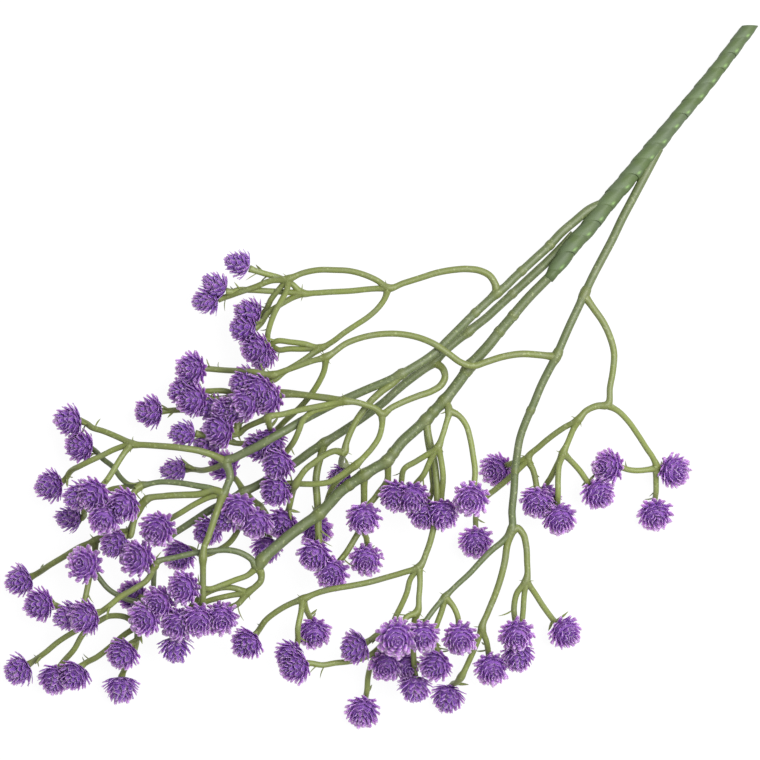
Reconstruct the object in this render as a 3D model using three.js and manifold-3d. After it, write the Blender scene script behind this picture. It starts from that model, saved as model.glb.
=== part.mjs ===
// A lying spray of artificial gypsophila: a taped main stem, four moulded branch stems with
// three-way forked sprigs, and pompon heads of narrow petals. Millimetres, +Z up, the table at
// z = 0, the flowers towards +Y and the cut end of the stem towards -Y.
import * as THREE from "three";
import Module from "manifold-3d";
import { mergeVertices } from "three/addons/utils/BufferGeometryUtils.js";

const wasm = await Module();
wasm.setup();

// How the spray lies in the picture it was measured from.
// One picture pixel is this many millimetres at table height, seen from straight above.
const PIXEL = 0.4;
const CENTRE_U = 380;
const CENTRE_V = 380;
const EYE_HEIGHT = 1000;
// The spray's long direction is turned to lie along Y, and the box is centred on the origin.
const TURN_DEG = -131.9;
const SHIFT_X = 26.8;
const SHIFT_Y = 8.3;

// Stem sizes, as radii.
const TAPE_RADIUS_TOP = 2.6;
const TAPE_RADIUS_MIDDLE = 2.8;
const TAPE_RADIUS_BUNDLE = 3.1;
const TAPE_RADIUS_TAPER = 2.15;
const TAPE_RADIUS_END = 1.95;
const TAPE_BULGE = 0.35;
const TAPE_PITCH = 8.1;
const TAPE_SLANT = 1.6;
const TAPE_SIDES = 7;
const WIRE_RADIUS = 0.8;
const WIRE_GAP = 0.3;
const WIRE_DEPTH = 14;
const SPRIG_RADIUS = 1.2;
const TWIG_RADIUS = 1.0;
const TWIG_END_RADIUS = 1.3;
const COLLAR_EXTRA = 0.7;
const COLLAR_LENGTH = 3.2;
const COLLAR_STEP = 0.7;
const KNUCKLE_EXTRA = 0.3;
const THREE_SIDED_SWELL = 1.15;
const ROOT_TAPER = 1.8;
const ROOT_SHARE = 0.6;
const BRANCHES = {
  A: { start: 1.7, middle: 1.6, end: 1.3, first: "aRoot", last: "aNode4" },
  B: { start: 1.7, middle: 1.6, end: 1.2, first: "bRoot", last: "bEnd" },
  C: { start: 1.75, middle: 2.05, end: 1.5, first: "cRoot", last: "cNode8" },
  D: { start: 1.7, middle: 1.55, end: 1.4, first: "dRoot", last: "dNode3" },
};
const SIDES = { branch: 4, sprig: 3, twig: 3 };
const THINNING = 0.55;

// Head sizes. Along the head's own axis the calyx starts at HEAD_BACK and the dome ends at
// HEAD_FRONT. Each ring and each row of petal tips has its place along the axis and its radius.
const PETALS_ALONE = 6;
const PETALS_IN_BUNCH = 5;
const HEAD_BACK = -5.0;
const HEAD_FRONT = 4.4;
const HEAD_RINGS = [[HEAD_BACK, 1.3], [-2.6, 4.4], [-0.2, 5.3], [2.2, 3.6]];
const HEAD_TIPS = [[-2.7, 7.9], [0.4, 7.6], [3.2, 5.8]];
const HEAD_SPACE = [[-5.4, 2.4], [-3.2, 8.2], [1.0, 8.1], [3.5, 6.2], [4.8, 2.6]];
const HEAD_SPACE_SIDES = 10;
const TIP_TWIST = 0.25;
const TIP_SPREAD = 0.1;
const TIP_WAVE = 0.8;
const HEAD_GAP = 0.3;
const APPROACH = 2.6;
const CLEARANCE = 0.35;
const GROOVE_GAP = 0.5;

const CUT_OVERRUN = 5;
const CUT_BLOCK = 60;
const TABLE_BLOCK = 600;
const TAPE_LAP = 0.93;
const LEAST_OVERLAP = 0.002;
const NEARLY_UPRIGHT = 0.9;
const SLIVER = 0.1;
const HEAD_SEED = 7;
const TAPE_COLOUR = 0x6e8a55;
const WIRE_COLOUR = 0x8c8f86;
const BRANCH_COLOUR = 0x84955a;
const HEAD_COLOUR = 0x7a4ba8;

// Where the heads are: picture place u, v, height, the way the head faces in the picture
// (right, down) and towards the eye, and its size.
const HEADS = {
  a1: [237, 263, 24, -0.9, -0.4, 0.15, 0.8],
  a2: [214, 285, 24, -0.85, -0.45, 0.15, 0.8],
  a3: [205, 301, 22, -0.95, 0.15, 0.2, 0.85],
  a4: [247, 312, 20, -0.85, -0.25, 0.45, 0.9],
  a5: [242, 329, 22, -0.9, 0.05, 0.4, 0.95],
  a6: [254, 350, 24, -0.7, 0.2, 0.68, 1],
  a7: [262, 358, 21, -0.4, 0.7, 0.5, 0.85],
  a8: [257, 391, 30, -0.5, 0.5, 0.7, 1],
  k1: [189, 369, 22, -0.7, 0.05, 0.71, 1],
  k2: [243, 382, 26, -0.7, 0.1, 0.5, 0.95],
  l1: [181, 392, 20, -0.8, 0, 0.6, 0.95],
  l2: [190, 400, 24, -0.75, 0.05, 0.66, 1],
  l3: [148, 412, 16, -0.9, 0.05, 0.43, 1],
  e1: [266, 399, 28, -0.6, 0.1, 0.8, 1],
  e2: [245, 403, 30, -0.4, 0.3, 0.86, 1],
  e3: [236, 409, 26, -0.7, 0.4, 0.5, 0.95],
  e4: [223, 411, 24, -0.5, -0.3, 0.8, 0.95],
  e5: [208, 408, 20, -0.7, 0.1, 0.6, 0.85],
  g1: [217, 430, 26, -0.8, 0, 0.6, 1.05],
  g3: [206, 442, 18, -0.9, 0.15, 0.4, 0.95],
  g2: [182, 434, 23, -0.97, 0.03, 0.2, 0.82],
  g5: [256, 447, 22, -0.85, 0.1, 0.5, 0.95],
  g6: [270, 445, 25, 0, 0.7, 0.7, 0.95],
  g7: [277, 466, 28, -0.4, 0.65, 0.64, 1],
  m4: [274, 492, 27, -0.55, 0.5, 0.66, 1],
  m3: [281, 526, 12, -0.3, 0.6, 0.74, 1],
  n0: [222, 464, 12, -0.4, -0.5, 0.6, 0.95],
  n1: [173, 470, 0, -0.97, 0.05, 0.2, 0.78],
  q1: [67, 421, 16, -0.9, 0, 0.43, 0.98],
  q4: [78, 446, 14, -0.75, -0.1, 0.65, 0.98],
  q2: [48, 486, 12, -0.85, 0.2, 0.48, 1],
  q3: [91, 496, 30, -0.45, 0.45, 0.77, 1.05],
  q6: [76, 497, 26, -0.8, 0.3, 0.5, 0.9],
  q5: [122, 506, 29, -0.5, 0.4, 0.76, 1],
  q7: [104, 519, 30, -0.1, 0.5, 0.86, 1],
  q8: [68, 518, 0, -0.96, 0, 0.25, 0.85],
  x1: [157, 531, 26, -0.2, 0.35, 0.9, 1.05],
  x2: [114, 545, 26, -0.6, 0.5, 0.5, 0.95],
  x3: [135, 558, 30, -0.5, -0.05, 0.86, 1.08],
  r1: [238, 511, 24, -0.1, 0.5, 0.85, 1],
  r2: [255, 525, 22, -0.2, 0.6, 0.75, 1],
  r3: [225, 520, 20, -0.5, 0.6, 0.6, 0.9],
  r4: [206, 533, 20, -0.6, 0.5, 0.6, 0.9],
  r5: [266, 551, 0, -0.2, 0.8, 0.5, 0.95],
  x4: [178, 557, 0, -0.5, 0.6, 0.6, 1],
  x5: [182, 589, 30, -0.45, 0.2, 0.87, 1],
  x6: [157, 604, 28, -0.3, 0.2, 0.93, 1],
  x7: [143, 620, 30, -0.4, 0.2, 0.89, 1.02],
  y1: [177, 626, 28, -0.2, 0.4, 0.89, 1],
  y2: [198, 622, 30, 0.05, 0.4, 0.91, 1],
  y3: [221, 620, 28, 0.1, 0.35, 0.93, 1],
  y4: [175, 650, 22, 0, 0.97, 0.22, 1],
  y5: [245, 645, 20, -0.6, 0.55, 0.58, 1],
  z1: [18, 581, 10, -0.85, 0.25, 0.45, 1],
  z2: [37, 605, 16, -0.75, 0.1, 0.65, 1],
  z3: [83, 564, 26, -0.25, -0.15, 0.95, 1.08],
  z4: [83, 618, 24, -0.75, 0.15, 0.64, 1.05],
  z5: [66, 617, 18, -0.85, 0.3, 0.4, 0.9],
  z6: [130, 594, 10, -0.6, -0.3, 0.74, 0.95],
  z7: [17, 671, 0, -0.8, 0.45, 0.4, 1],
  z8: [54, 681, 12, -0.2, 0.75, 0.6, 1],
  z9: [73, 677, 15, -0.45, 0.65, 0.6, 1],
  w1: [121, 656, 20, -0.5, 0.6, 0.62, 1],
  w2: [121, 690, 0, 0, 0.92, 0.38, 1.05],
  m2: [338, 479, 0, -0.7, 0.6, 0.3, 0.75],
  m1: [317, 533, 8, 0.1, 0.5, 0.86, 0.95],
  m5: [313, 557, 24, -0.35, 0.6, 0.72, 1],
  m6: [331, 575, 22, -0.2, 0.4, 0.9, 1],
  p1: [364, 520, 28, 0.05, 0.5, 0.86, 1],
  p2: [366, 561, 15, -0.05, 0.3, 0.95, 1],
  c1: [395, 498, 25, -0.3, 0.55, 0.78, 1],
  c2: [412, 499, 27, 0, 0.55, 0.83, 1],
  c3: [424, 516, 25, -0.2, 0.6, 0.77, 1],
  c4: [443, 516, 28, 0.1, 0.7, 0.7, 1],
  c5: [471, 500, 30, -0.15, 0.3, 0.94, 1.05],
  c6: [476, 544, 10, 0, 0.5, 0.86, 1],
  c7: [293, 667, 22, -0.75, 0.2, 0.63, 1.02],
  c8: [288, 657, 18, -0.5, 0.5, 0.6, 0.9],
  c9: [314, 635, 14, 0.1, 0.6, 0.79, 1],
  s1: [353, 648, 26, -0.85, 0.3, 0.43, 1],
  s2: [362, 714, 8, -0.15, 0.6, 0.75, 1.02],
  s3: [397, 639, 32, 0.05, 0.2, 0.98, 1.15],
  s4: [423, 638, 28, 0.1, 0.5, 0.84, 0.95],
  s5: [386, 667, 24, 0, 0.3, 0.95, 0.95],
  s6: [406, 667, 20, 0.3, 0.3, 0.9, 0.85],
  s7: [434, 667, 26, -0.5, 0.5, 0.7, 1],
  s8: [415, 690, 22, 0, 0.9, 0.43, 1],
  s9: [447, 700, 0, -0.25, 0.85, 0.45, 1],
  t1: [461, 640, 28, 0.1, 0.4, 0.9, 1],
  t2: [492, 671, 20, 0.1, 0.5, 0.86, 1],
  t3: [518, 659, 20, 0, 0.8, 0.58, 0.95],
  t4: [517, 637, 24, 0, 0.4, 0.92, 1.02],
  t5: [567, 634, 12, 0.5, 0.45, 0.74, 1],
  d1: [495, 471, 9, -0.5, 0.2, 0.84, 1],
  d2: [537, 504, 22, -0.1, 0.6, 0.79, 1],
  d3: [547, 500, 19, 0.2, 0.5, 0.8, 0.85],
  d4: [560, 521, 23, 0.1, 0.6, 0.8, 1],
  d5: [606, 467, 16, -0.65, 0.05, 0.75, 1],
  d6: [600, 495, 17, 0.4, 0.5, 0.77, 1],
  d7: [676, 471, 11, 0.5, 0.1, 0.75, 1],
  d8: [656, 517, 9, 0.05, 0.5, 0.86, 1.02],
};

// Heads that touch each other are one solid, in these groups. Each other head is its own.
const GROUPS = [
  ["a2", "a3"],
  ["a4", "a5", "a6", "a7"],
  ["a8", "k2", "e1", "e2", "e3", "e4", "e5", "g1", "g3", "k1", "l1", "l2"],
  ["g5", "g6", "g7", "m4"],
  ["q1", "q4"],
  ["q3", "q5", "q6", "q7"],
  ["x2", "x3"],
  ["r1", "r2", "r3", "r4"],
  ["x5", "x6", "x7", "y1", "y2", "y3", "y4"],
  ["z4", "z5"],
  ["z8", "z9"],
  ["m5", "m6"],
  ["c1", "c2", "c3", "c4"],
  ["c7", "c8"],
  ["s3", "s4"],
  ["s5", "s6", "s8"],
  ["t2", "t3", "t4"],
  ["d2", "d3", "d4"],
  ["d5", "d6"],
];

// Where stems fork or carry a node: picture place and height.
const JOINTS = {
  cut: [750, 26, 2.8],
  mainMid: [645, 158, 15],
  bundle: [571, 247, 24],
  wrapEnd: [546, 282, 25],
  aRoot: [603, 203, 20],
  aNode1: [497, 293, 27],
  aNode2: [400, 375, 30],
  aNode3: [226, 462, 26],
  aNode4: [223, 494, 30],
  archFork: [388, 288, 28],
  forkP: [288, 279, 27],
  forkQ: [302, 293, 22],
  forkR: [320, 348, 22],
  hang: [344, 452, 30],
  hangLeft: [296, 484, 30],
  hangRight: [356, 465, 30],
  forkW: [132, 444, 22],
  forkY: [142, 485, 24],
  forkY2: [146, 500, 26],
  forkZ: [95, 541, 19],
  stemX: [203, 558, 32],
  bRoot: [574, 234, 22.5],
  bNode1: [468, 332, 20],
  bNode2: [434, 362, 20],
  bNode3: [324, 443, 18],
  bNode4: [244, 492, 16],
  bNode5: [224, 503, 16],
  bEnd: [167, 538, 16],
  forkV: [382, 414, 34],
  forkU: [345, 401, 36],
  forkE: [238, 395, 18],
  forkG: [237, 433, 20],
  forkU2: [268, 418, 32],
  forkM: [260, 507, 12],
  cRoot: [550, 276, 24.9],
  cNode1: [470, 366, 24],
  cNode2: [444, 401, 24],
  cNode3: [426, 420, 24],
  cNode4: [387, 461, 25],
  cNode5: [364, 475, 25],
  cNode6: [319, 514, 24],
  cNode7: [262, 560, 26],
  cNode8: [257, 567, 26],
  forkC1: [449, 411, 26],
  forkC2: [438, 447, 30],
  forkC3: [419, 567, 26],
  forkC4: [303, 599, 22],
  forkC5: [391, 627, 22],
  forkC6: [417, 612, 26],
  forkC7: [386, 485, 22],
  forkC8: [361, 527, 16],
  forkC9: [247, 593, 24],
  forkX: [156, 563, 30],
  forkX2: [148, 604, 15],
  forkX3: [138, 626, 18],
  forkX4: [93, 622, 14],
  dRoot: [659, 148.5, 14.1],
  dNode1: [584, 295, 24],
  dNode2: [556, 357, 26],
  dNode3: [511, 532, 22],
  forkS: [326, 357, 32],
  forkS2: [272, 375, 30],
  forkS3: [262, 440, 14],
  forkD1: [607, 405, 26],
  forkD2: [578, 420, 26],
  forkD3: [528, 459, 16],
  forkD4: [563, 453, 24],
  forkD5: [656, 467, 11],
  forkD6: [445, 597, 24],
  forkD7: [482, 629, 22],
  forkD8: [526, 581, 22],
  forkD9: [461, 677, 16],
};

// The stems. Each runs from a joint, by way of picture places, to a joint or a head.
// Body, kind, from, places on the way, to.
const RUNS = [
  ["A", "branch", "aRoot", [
    [590, 209], [575, 221], [561, 233], [549, 246], [537, 257], [525, 268], [513, 279],
    [505, 287],
  ], "aNode1"],
  ["A", "branch", "aNode1", [
    [486, 303], [472, 316], [458, 330], [447, 341], [437, 351], [425, 360], [412, 368],
  ], "aNode2"],
  ["A", "branch", "aNode2", [
    [385, 382], [368, 389], [352, 396], [336, 403], [320, 411], [303, 420], [288, 429],
    [272, 438], [258, 446], [246, 452], [236, 457],
  ], "aNode3"],
  ["A", "branch", "aNode3", [[229, 470], [230, 478], [227, 486]], "aNode4"],
  ["A", "sprig", "aNode1", [
    [495, 284], [490, 276], [481, 271], [468, 269], [452, 270], [436, 273], [420, 278],
    [404, 283],
  ], "archFork"],
  ["A", "twig", "archFork", [
    [378, 281], [365, 275], [350, 271], [334, 270], [318, 270], [303, 273],
  ], "forkP"],
  ["A", "twig", "archFork", [[370, 289], [350, 291], [330, 292], [315, 293]], "forkQ"],
  ["A", "twig", "archFork", [
    [385, 298], [378, 308], [368, 317], [356, 325], [344, 333], [332, 342],
  ], "forkR"],
  ["A", "twig", "forkP", [[270, 281], [255, 287], [240, 292]], "a3"],
  ["A", "twig", "forkP", [[280, 288], [272, 298]], "a4"],
  ["A", "twig", "forkP", [[287, 289], [281, 301], [275, 312], [271, 322], [268, 333]], "a6"],
  ["A", "twig", "forkQ", [[292, 284], [280, 278], [266, 274]], "a1"],
  ["A", "twig", "forkQ", [[285, 292], [268, 291], [250, 290], [238, 290]], "a2"],
  ["A", "twig", "forkQ", [[290, 299], [278, 306], [268, 313]], "a5"],
  ["A", "twig", "forkR", [[305, 344], [290, 342], [277, 341]], "a6"],
  ["A", "twig", "forkR", [[303, 349], [288, 349], [279, 350]], "a7"],
  ["A", "twig", "forkR", [[308, 357], [296, 365], [284, 372], [274, 380]], "a8"],
  ["A", "sprig", "aNode2", [
    [393, 383], [382, 391], [372, 400], [363, 411], [356, 421], [350, 433], [346, 444],
  ], "hang"],
  ["A", "twig", "hang", [[335, 451], [325, 455], [315, 462], [306, 469], [300, 477]], "hangLeft"],
  ["A", "twig", "hang", [[341, 464]], "m2"],
  ["A", "twig", "hangLeft", [[292, 495], [290, 504]], "m3"],
  ["A", "sprig", "aNode3", [[215, 456], [200, 451], [182, 448], [160, 446], [145, 445]], "forkW"],
  ["A", "twig", "aNode3", [[219, 466], [205, 470]], "n1"],
  ["A", "twig", "forkW", [[124, 440], [113, 435], [103, 431], [93, 428]], "q1"],
  ["A", "twig", "forkW", [[124, 446], [113, 450], [103, 455], [92, 460], [80, 466], [70, 472]], "q2"],
  ["A", "twig", "forkW", [[125, 452], [119, 461], [113, 471], [107, 480]], "q3"],
  ["A", "sprig", "aNode4", [[213, 489], [198, 486], [180, 483], [160, 482]], "forkY"],
  ["A", "twig", "forkY", [[128, 484], [121, 478], [113, 467], [103, 459]], "q4"],
  ["A", "twig", "forkY", [[135, 490]], "q5"],
  ["A", "twig", "forkY", [[132, 494]], "q7"],
  ["A", "twig", "forkY", [[125, 487], [110, 490], [92, 505], [84, 512]], "q8"],
  ["A", "sprig", "aNode4", [[214, 490], [200, 494], [182, 495], [165, 496]], "forkY2"],
  ["A", "twig", "forkY2", [[140, 510], [134, 520], [129, 530], [117, 532], [105, 535]], "forkZ"],
  ["A", "twig", "forkY2", [[139, 506], [134, 522], [130, 536]], "x2"],
  ["A", "twig", "forkZ", [[80, 547], [65, 556], [50, 565]], "z1"],
  ["A", "twig", "forkZ", [[95, 553], [91, 570], [88, 585]], "z5"],
  ["A", "twig", "aNode4", [[210, 497], [195, 504], [182, 512]], "x1"],
  ["A", "sprig", "aNode4", [[218, 508], [213, 523], [208, 538], [204, 548]], "stemX"],
  ["A", "twig", "stemX", [[203, 570], [203, 585], [203, 598]], "y2"],
  ["B", "branch", "bRoot", [
    [561, 248], [548, 261], [535, 273], [522, 285], [510, 296], [498, 307], [486, 318],
    [477, 325],
  ], "bNode1"],
  ["B", "branch", "bNode1", [[458, 340], [446, 350]], "bNode2"],
  ["B", "branch", "bNode2", [
    [420, 372], [408, 381], [396, 391], [384, 402], [372, 411], [358, 421], [343, 431],
  ], "bNode3"],
  ["B", "branch", "bNode3", [[310, 452], [298, 461], [284, 470], [270, 478], [256, 486]], "bNode4"],
  ["B", "branch", "bNode4", [], "bNode5"],
  ["B", "branch", "bNode5", [[209, 511], [195, 520]], "bEnd"],
  ["B", "sprig", "bNode2", [
    [443, 369], [445, 377], [441, 385], [432, 391], [418, 396], [403, 402], [391, 408],
  ], "forkV"],
  ["B", "twig", "forkV", [[376, 409], [366, 405], [355, 402]], "forkU"],
  ["B", "twig", "forkV", [[382, 425], [379, 437], [372, 448], [364, 457]], "hangRight"],
  ["B", "twig", "hangRight", [[347, 473], [338, 480], [331, 490], [326, 504]], "m1"],
  ["B", "twig", "hangRight", [[348, 470], [340, 476], [329, 482], [316, 484], [303, 484]], "m4"],
  ["B", "twig", "forkU", [[330, 399], [315, 397], [300, 395], [285, 395], [275, 396]], "e1"],
  ["B", "twig", "forkU", [
    [331, 398], [315, 396], [300, 394], [283, 392], [262, 393], [250, 394],
  ], "forkE"],
  ["B", "twig", "forkU", [[330, 404], [315, 407], [300, 410], [284, 414]], "forkU2"],
  ["B", "twig", "forkU", [[325, 408], [312, 412], [303, 420], [299, 430], [294, 441]], "g7"],
  ["B", "twig", "forkE", [[225, 391], [212, 391]], "l1"],
  ["B", "twig", "forkE", [[224, 398], [213, 399]], "l2"],
  ["B", "twig", "forkE", [[226, 402], [213, 407], [197, 410], [178, 410]], "l3"],
  ["B", "twig", "forkE", [[241, 397]], "e2"],
  ["B", "twig", "forkU2", [[269, 424]], "g6"],
  ["B", "twig", "forkU2", [[258, 422], [247, 427]], "forkG"],
  ["B", "twig", "forkG", [], "g1"],
  ["B", "twig", "forkG", [[226, 437], [212, 438]], "g2"],
  ["B", "twig", "forkG", [[237, 424]], "e4"],
  ["B", "twig", "forkG", [[240, 421]], "e3"],
  ["B", "sprig", "bNode3", [
    [321, 455], [318, 466], [316, 480], [317, 497], [318, 512], [318, 525],
  ], "m5"],
  ["B", "twig", "bNode4", [[252, 499]], "forkM"],
  ["B", "twig", "forkM", [], "r2"],
  ["B", "twig", "forkM", [[266, 514], [268, 527]], "r5"],
  ["B", "twig", "bNode4", [[243, 500]], "r1"],
  ["B", "twig", "bNode4", [[238, 482]], "n0"],
  ["B", "twig", "bNode4", [[242, 508], [239, 527], [230, 542], [216, 551], [202, 555]], "x4"],
  ["B", "twig", "bNode5", [], "r3"],
  ["B", "twig", "bNode5", [[214, 517]], "r4"],
  ["C", "branch", "cRoot", [
    [540, 286], [532, 294], [522, 305], [512, 317], [500, 331], [488, 346], [478, 357],
  ], "cNode1"],
  ["C", "branch", "cNode1", [[461, 379], [452, 391]], "cNode2"],
  ["C", "branch", "cNode2", [[436, 409]], "cNode3"],
  ["C", "branch", "cNode3", [[414, 431], [402, 442], [394, 452]], "cNode4"],
  ["C", "branch", "cNode4", [[375, 468]], "cNode5"],
  ["C", "branch", "cNode5", [[352, 483], [340, 492], [330, 503]], "cNode6"],
  ["C", "branch", "cNode6", [[305, 524], [290, 535], [276, 547]], "cNode7"],
  ["C", "branch", "cNode7", [], "cNode8"],
  ["C", "twig", "cNode2", [[448, 406]], "forkC1"],
  ["C", "twig", "forkC1", [[446, 424], [442, 437]], "forkC2"],
  ["C", "twig", "forkC1", [[458, 415], [466, 425], [470, 438], [473, 455], [475, 471]], "c5"],
  ["C", "twig", "forkC2", [[428, 454], [415, 462], [405, 468]], "c1"],
  ["C", "twig", "forkC2", [[430, 461], [424, 474]], "c2"],
  ["C", "twig", "forkC2", [[441, 460], [443, 476]], "c4"],
  ["C", "sprig", "cNode3", [
    [428, 433], [431, 447], [434, 460], [436, 475], [437, 490], [437, 505], [435, 520],
    [432, 535], [427, 551],
  ], "forkC3"],
  ["C", "twig", "cNode3", [[427, 437], [430, 455], [432, 475], [433, 488]], "c3"],
  ["C", "twig", "forkC3", [
    [405, 572], [388, 577], [370, 582], [350, 586], [332, 589], [317, 593],
  ], "forkC4"],
  ["C", "twig", "forkC3", [[410, 580], [407, 592], [402, 604], [396, 616]], "forkC5"],
  ["C", "twig", "forkC3", [[420, 580], [419, 596]], "forkC6"],
  ["C", "twig", "forkC4", [[290, 604], [276, 612], [266, 620]], "y5"],
  ["C", "twig", "forkC4", [[301, 612], [298, 627]], "c8"],
  ["C", "twig", "forkC4", [[306, 609]], "c9"],
  ["C", "twig", "forkC5", [[378, 634]], "s1"],
  ["C", "twig", "forkC5", [[382, 645], [373, 660], [368, 677], [367, 690]], "s2"],
  ["C", "twig", "forkC5", [[383, 643], [370, 655], [352, 661], [335, 663], [322, 665]], "c7"],
  ["C", "twig", "forkC5", [[390, 640]], "s5"],
  ["C", "twig", "forkC6", [[407, 617]], "s3"],
  ["C", "twig", "forkC6", [[413, 628], [413, 645], [414, 662]], "s8"],
  ["C", "sprig", "cNode4", [[388, 472]], "forkC7"],
  ["C", "twig", "forkC7", [[380, 491], [374, 499]], "p1"],
  ["C", "sprig", "cNode5", [[364, 487], [364, 500], [363, 514]], "forkC8"],
  ["C", "twig", "forkC8", [[354, 540], [346, 553]], "m6"],
  ["C", "twig", "forkC8", [[366, 537]], "p2"],
  ["C", "sprig", "cNode8", [
    [252, 560], [241, 553], [227, 550], [212, 551], [195, 553], [177, 557],
  ], "forkX"],
  ["C", "twig", "cNode8", [[248, 575], [235, 580], [222, 585], [210, 589]], "x5"],
  ["C", "sprig", "cNode8", [[261, 573], [261, 580], [255, 587]], "forkC9"],
  ["C", "twig", "forkC9", [[239, 603]], "y3"],
  ["C", "twig", "forkC9", [[233, 595], [219, 598], [208, 601]], "y1"],
  ["C", "twig", "forkC9", [[234, 588], [220, 588], [205, 594], [190, 608], [181, 626]], "y4"],
  ["C", "twig", "forkX", [[154, 575], [153, 590]], "forkX2"],
  ["C", "twig", "forkX", [[147, 580], [134, 589], [120, 597], [109, 606]], "z4"],
  ["C", "twig", "forkX", [[155, 567]], "x3"],
  ["C", "twig", "forkX2", [[138, 602], [124, 598], [111, 591]], "z3"],
  ["C", "twig", "forkX2", [[155, 606]], "x6"],
  ["C", "twig", "forkX2", [[142, 598]], "z6"],
  ["C", "twig", "forkX2", [[147, 614]], "forkX3"],
  ["C", "twig", "forkX3", [[141, 622]], "x7"],
  ["C", "twig", "forkX3", [[124, 635], [110, 647], [97, 657]], "z9"],
  ["C", "twig", "forkX3", [[138, 638]], "w1"],
  ["C", "twig", "forkX3", [[136, 645], [130, 662]], "w2"],
  ["C", "twig", "forkX3", [[125, 617], [110, 616]], "forkX4"],
  ["C", "twig", "forkX4", [[84, 616], [68, 612]], "z2"],
  ["C", "twig", "forkX4", [[72, 633], [58, 642], [46, 652]], "z7"],
  ["C", "twig", "forkX4", [[81, 637], [75, 648]], "z8"],
  ["D", "branch", "dRoot", [
    [641, 183], [632, 200], [622, 219], [612, 240], [603, 257], [594, 274],
  ], "dNode1"],
  ["D", "branch", "dNode1", [[577, 310], [569, 327], [562, 343]], "dNode2"],
  ["D", "branch", "dNode2", [
    [549, 370], [541, 386], [534, 403], [526, 421], [520, 438], [517, 455], [515, 472],
    [514, 490], [512, 510],
  ], "dNode3"],
  ["D", "sprig", "dNode1", [
    [594, 309], [603, 322], [610, 337], [614, 353], [613, 370], [610, 387],
  ], "forkD1"],
  ["D", "sprig", "forkD1", [[597, 406], [586, 411]], "forkD2"],
  ["D", "twig", "forkD2", [[565, 427], [552, 436], [540, 446]], "forkD3"],
  ["D", "twig", "forkD2", [[573, 430], [568, 442]], "forkD4"],
  ["D", "twig", "forkD1", [[618, 411], [628, 421], [638, 435], [647, 449], [653, 458]], "forkD5"],
  ["D", "twig", "forkD3", [[533, 470]], "d2"],
  ["D", "twig", "forkD3", [[520, 461], [510, 464]], "d1"],
  ["D", "twig", "forkD3", [[520, 468], [508, 479], [496, 489], [485, 498], [477, 511]], "c6"],
  ["D", "twig", "forkD4", [[557, 465], [551, 477]], "d3"],
  ["D", "twig", "forkD4", [[559, 466], [558, 480], [558, 494]], "d4"],
  ["D", "twig", "forkD4", [[571, 461], [580, 471], [587, 481]], "d6"],
  ["D", "twig", "forkD5", [[645, 470], [630, 470]], "d5"],
  ["D", "twig", "forkD5", [], "d7"],
  ["D", "twig", "forkD5", [[656, 480], [656, 492]], "d8"],
  ["D", "sprig", "dNode3", [[503, 541], [492, 550], [481, 561], [470, 573], [457, 585]], "forkD6"],
  ["D", "twig", "forkD6", [[436, 607], [427, 619]], "s4"],
  ["D", "twig", "forkD6", [[442, 610], [437, 624], [433, 638], [438, 650]], "s7"],
  ["D", "twig", "forkD6", [[453, 606], [458, 618]], "t1"],
  ["D", "sprig", "dNode3", [[507, 546], [505, 560], [501, 577], [495, 595], [488, 612]], "forkD7"],
  ["D", "twig", "forkD7", [[486, 640]], "t2"],
  ["D", "twig", "forkD7", [[476, 645], [469, 661]], "forkD9"],
  ["D", "twig", "forkD9", [[457, 682]], "s9"],
  ["D", "sprig", "dNode3", [[517, 528], [523, 534], [526, 545], [527, 560]], "forkD8"],
  ["D", "twig", "forkD8", [[517, 593], [514, 607]], "t4"],
  ["D", "twig", "forkD8", [[524, 597], [523, 612], [521, 628]], "t3"],
  ["D", "twig", "forkD8", [[534, 592], [543, 606], [551, 617]], "t5"],
  ["D", "sprig", "dNode2", [
    [540, 355], [520, 354], [502, 357], [486, 362], [473, 366], [462, 363], [449, 354],
    [436, 345], [420, 338], [400, 334], [382, 334], [364, 337], [347, 343],
  ], "forkS"],
  ["D", "twig", "forkS", [[312, 361], [298, 366], [284, 371]], "forkS2"],
  ["D", "twig", "forkS", [
    [324, 371], [319, 382], [312, 393], [304, 403], [295, 412], [286, 420], [276, 430],
  ], "forkS3"],
  ["D", "twig", "forkS2", [[255, 372], [240, 371], [222, 370]], "k1"],
  ["D", "twig", "forkS2", [[262, 377]], "k2"],
  ["D", "twig", "forkS3", [[250, 443], [235, 443]], "g3"],
  ["D", "twig", "forkS3", [[265, 445]], "g5"],
];

// The main stem, from its cut end to where the tape runs out on the thick branch.
const STEM_ROUTE = [
  ["cut", TAPE_RADIUS_TOP],
  [[723, 62], TAPE_RADIUS_TOP],
  [[697, 95], TAPE_RADIUS_MIDDLE],
  [[672, 125], TAPE_RADIUS_MIDDLE],
  ["mainMid", TAPE_RADIUS_BUNDLE],
  [[626, 181], TAPE_RADIUS_BUNDLE],
  [[605, 206], TAPE_RADIUS_BUNDLE],
  [[588, 228], TAPE_RADIUS_BUNDLE],
  ["bundle", TAPE_RADIUS_BUNDLE],
  [[560, 263], TAPE_RADIUS_MIDDLE],
  [[554, 271.5], TAPE_RADIUS_TAPER],
  ["wrapEnd", TAPE_RADIUS_END],
];

const CUT_V = 26;
const FIXED_JOINTS = ["cut", "mainMid", "bundle", "wrapEnd", "aRoot", "bRoot", "cRoot", "dRoot"];

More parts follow.
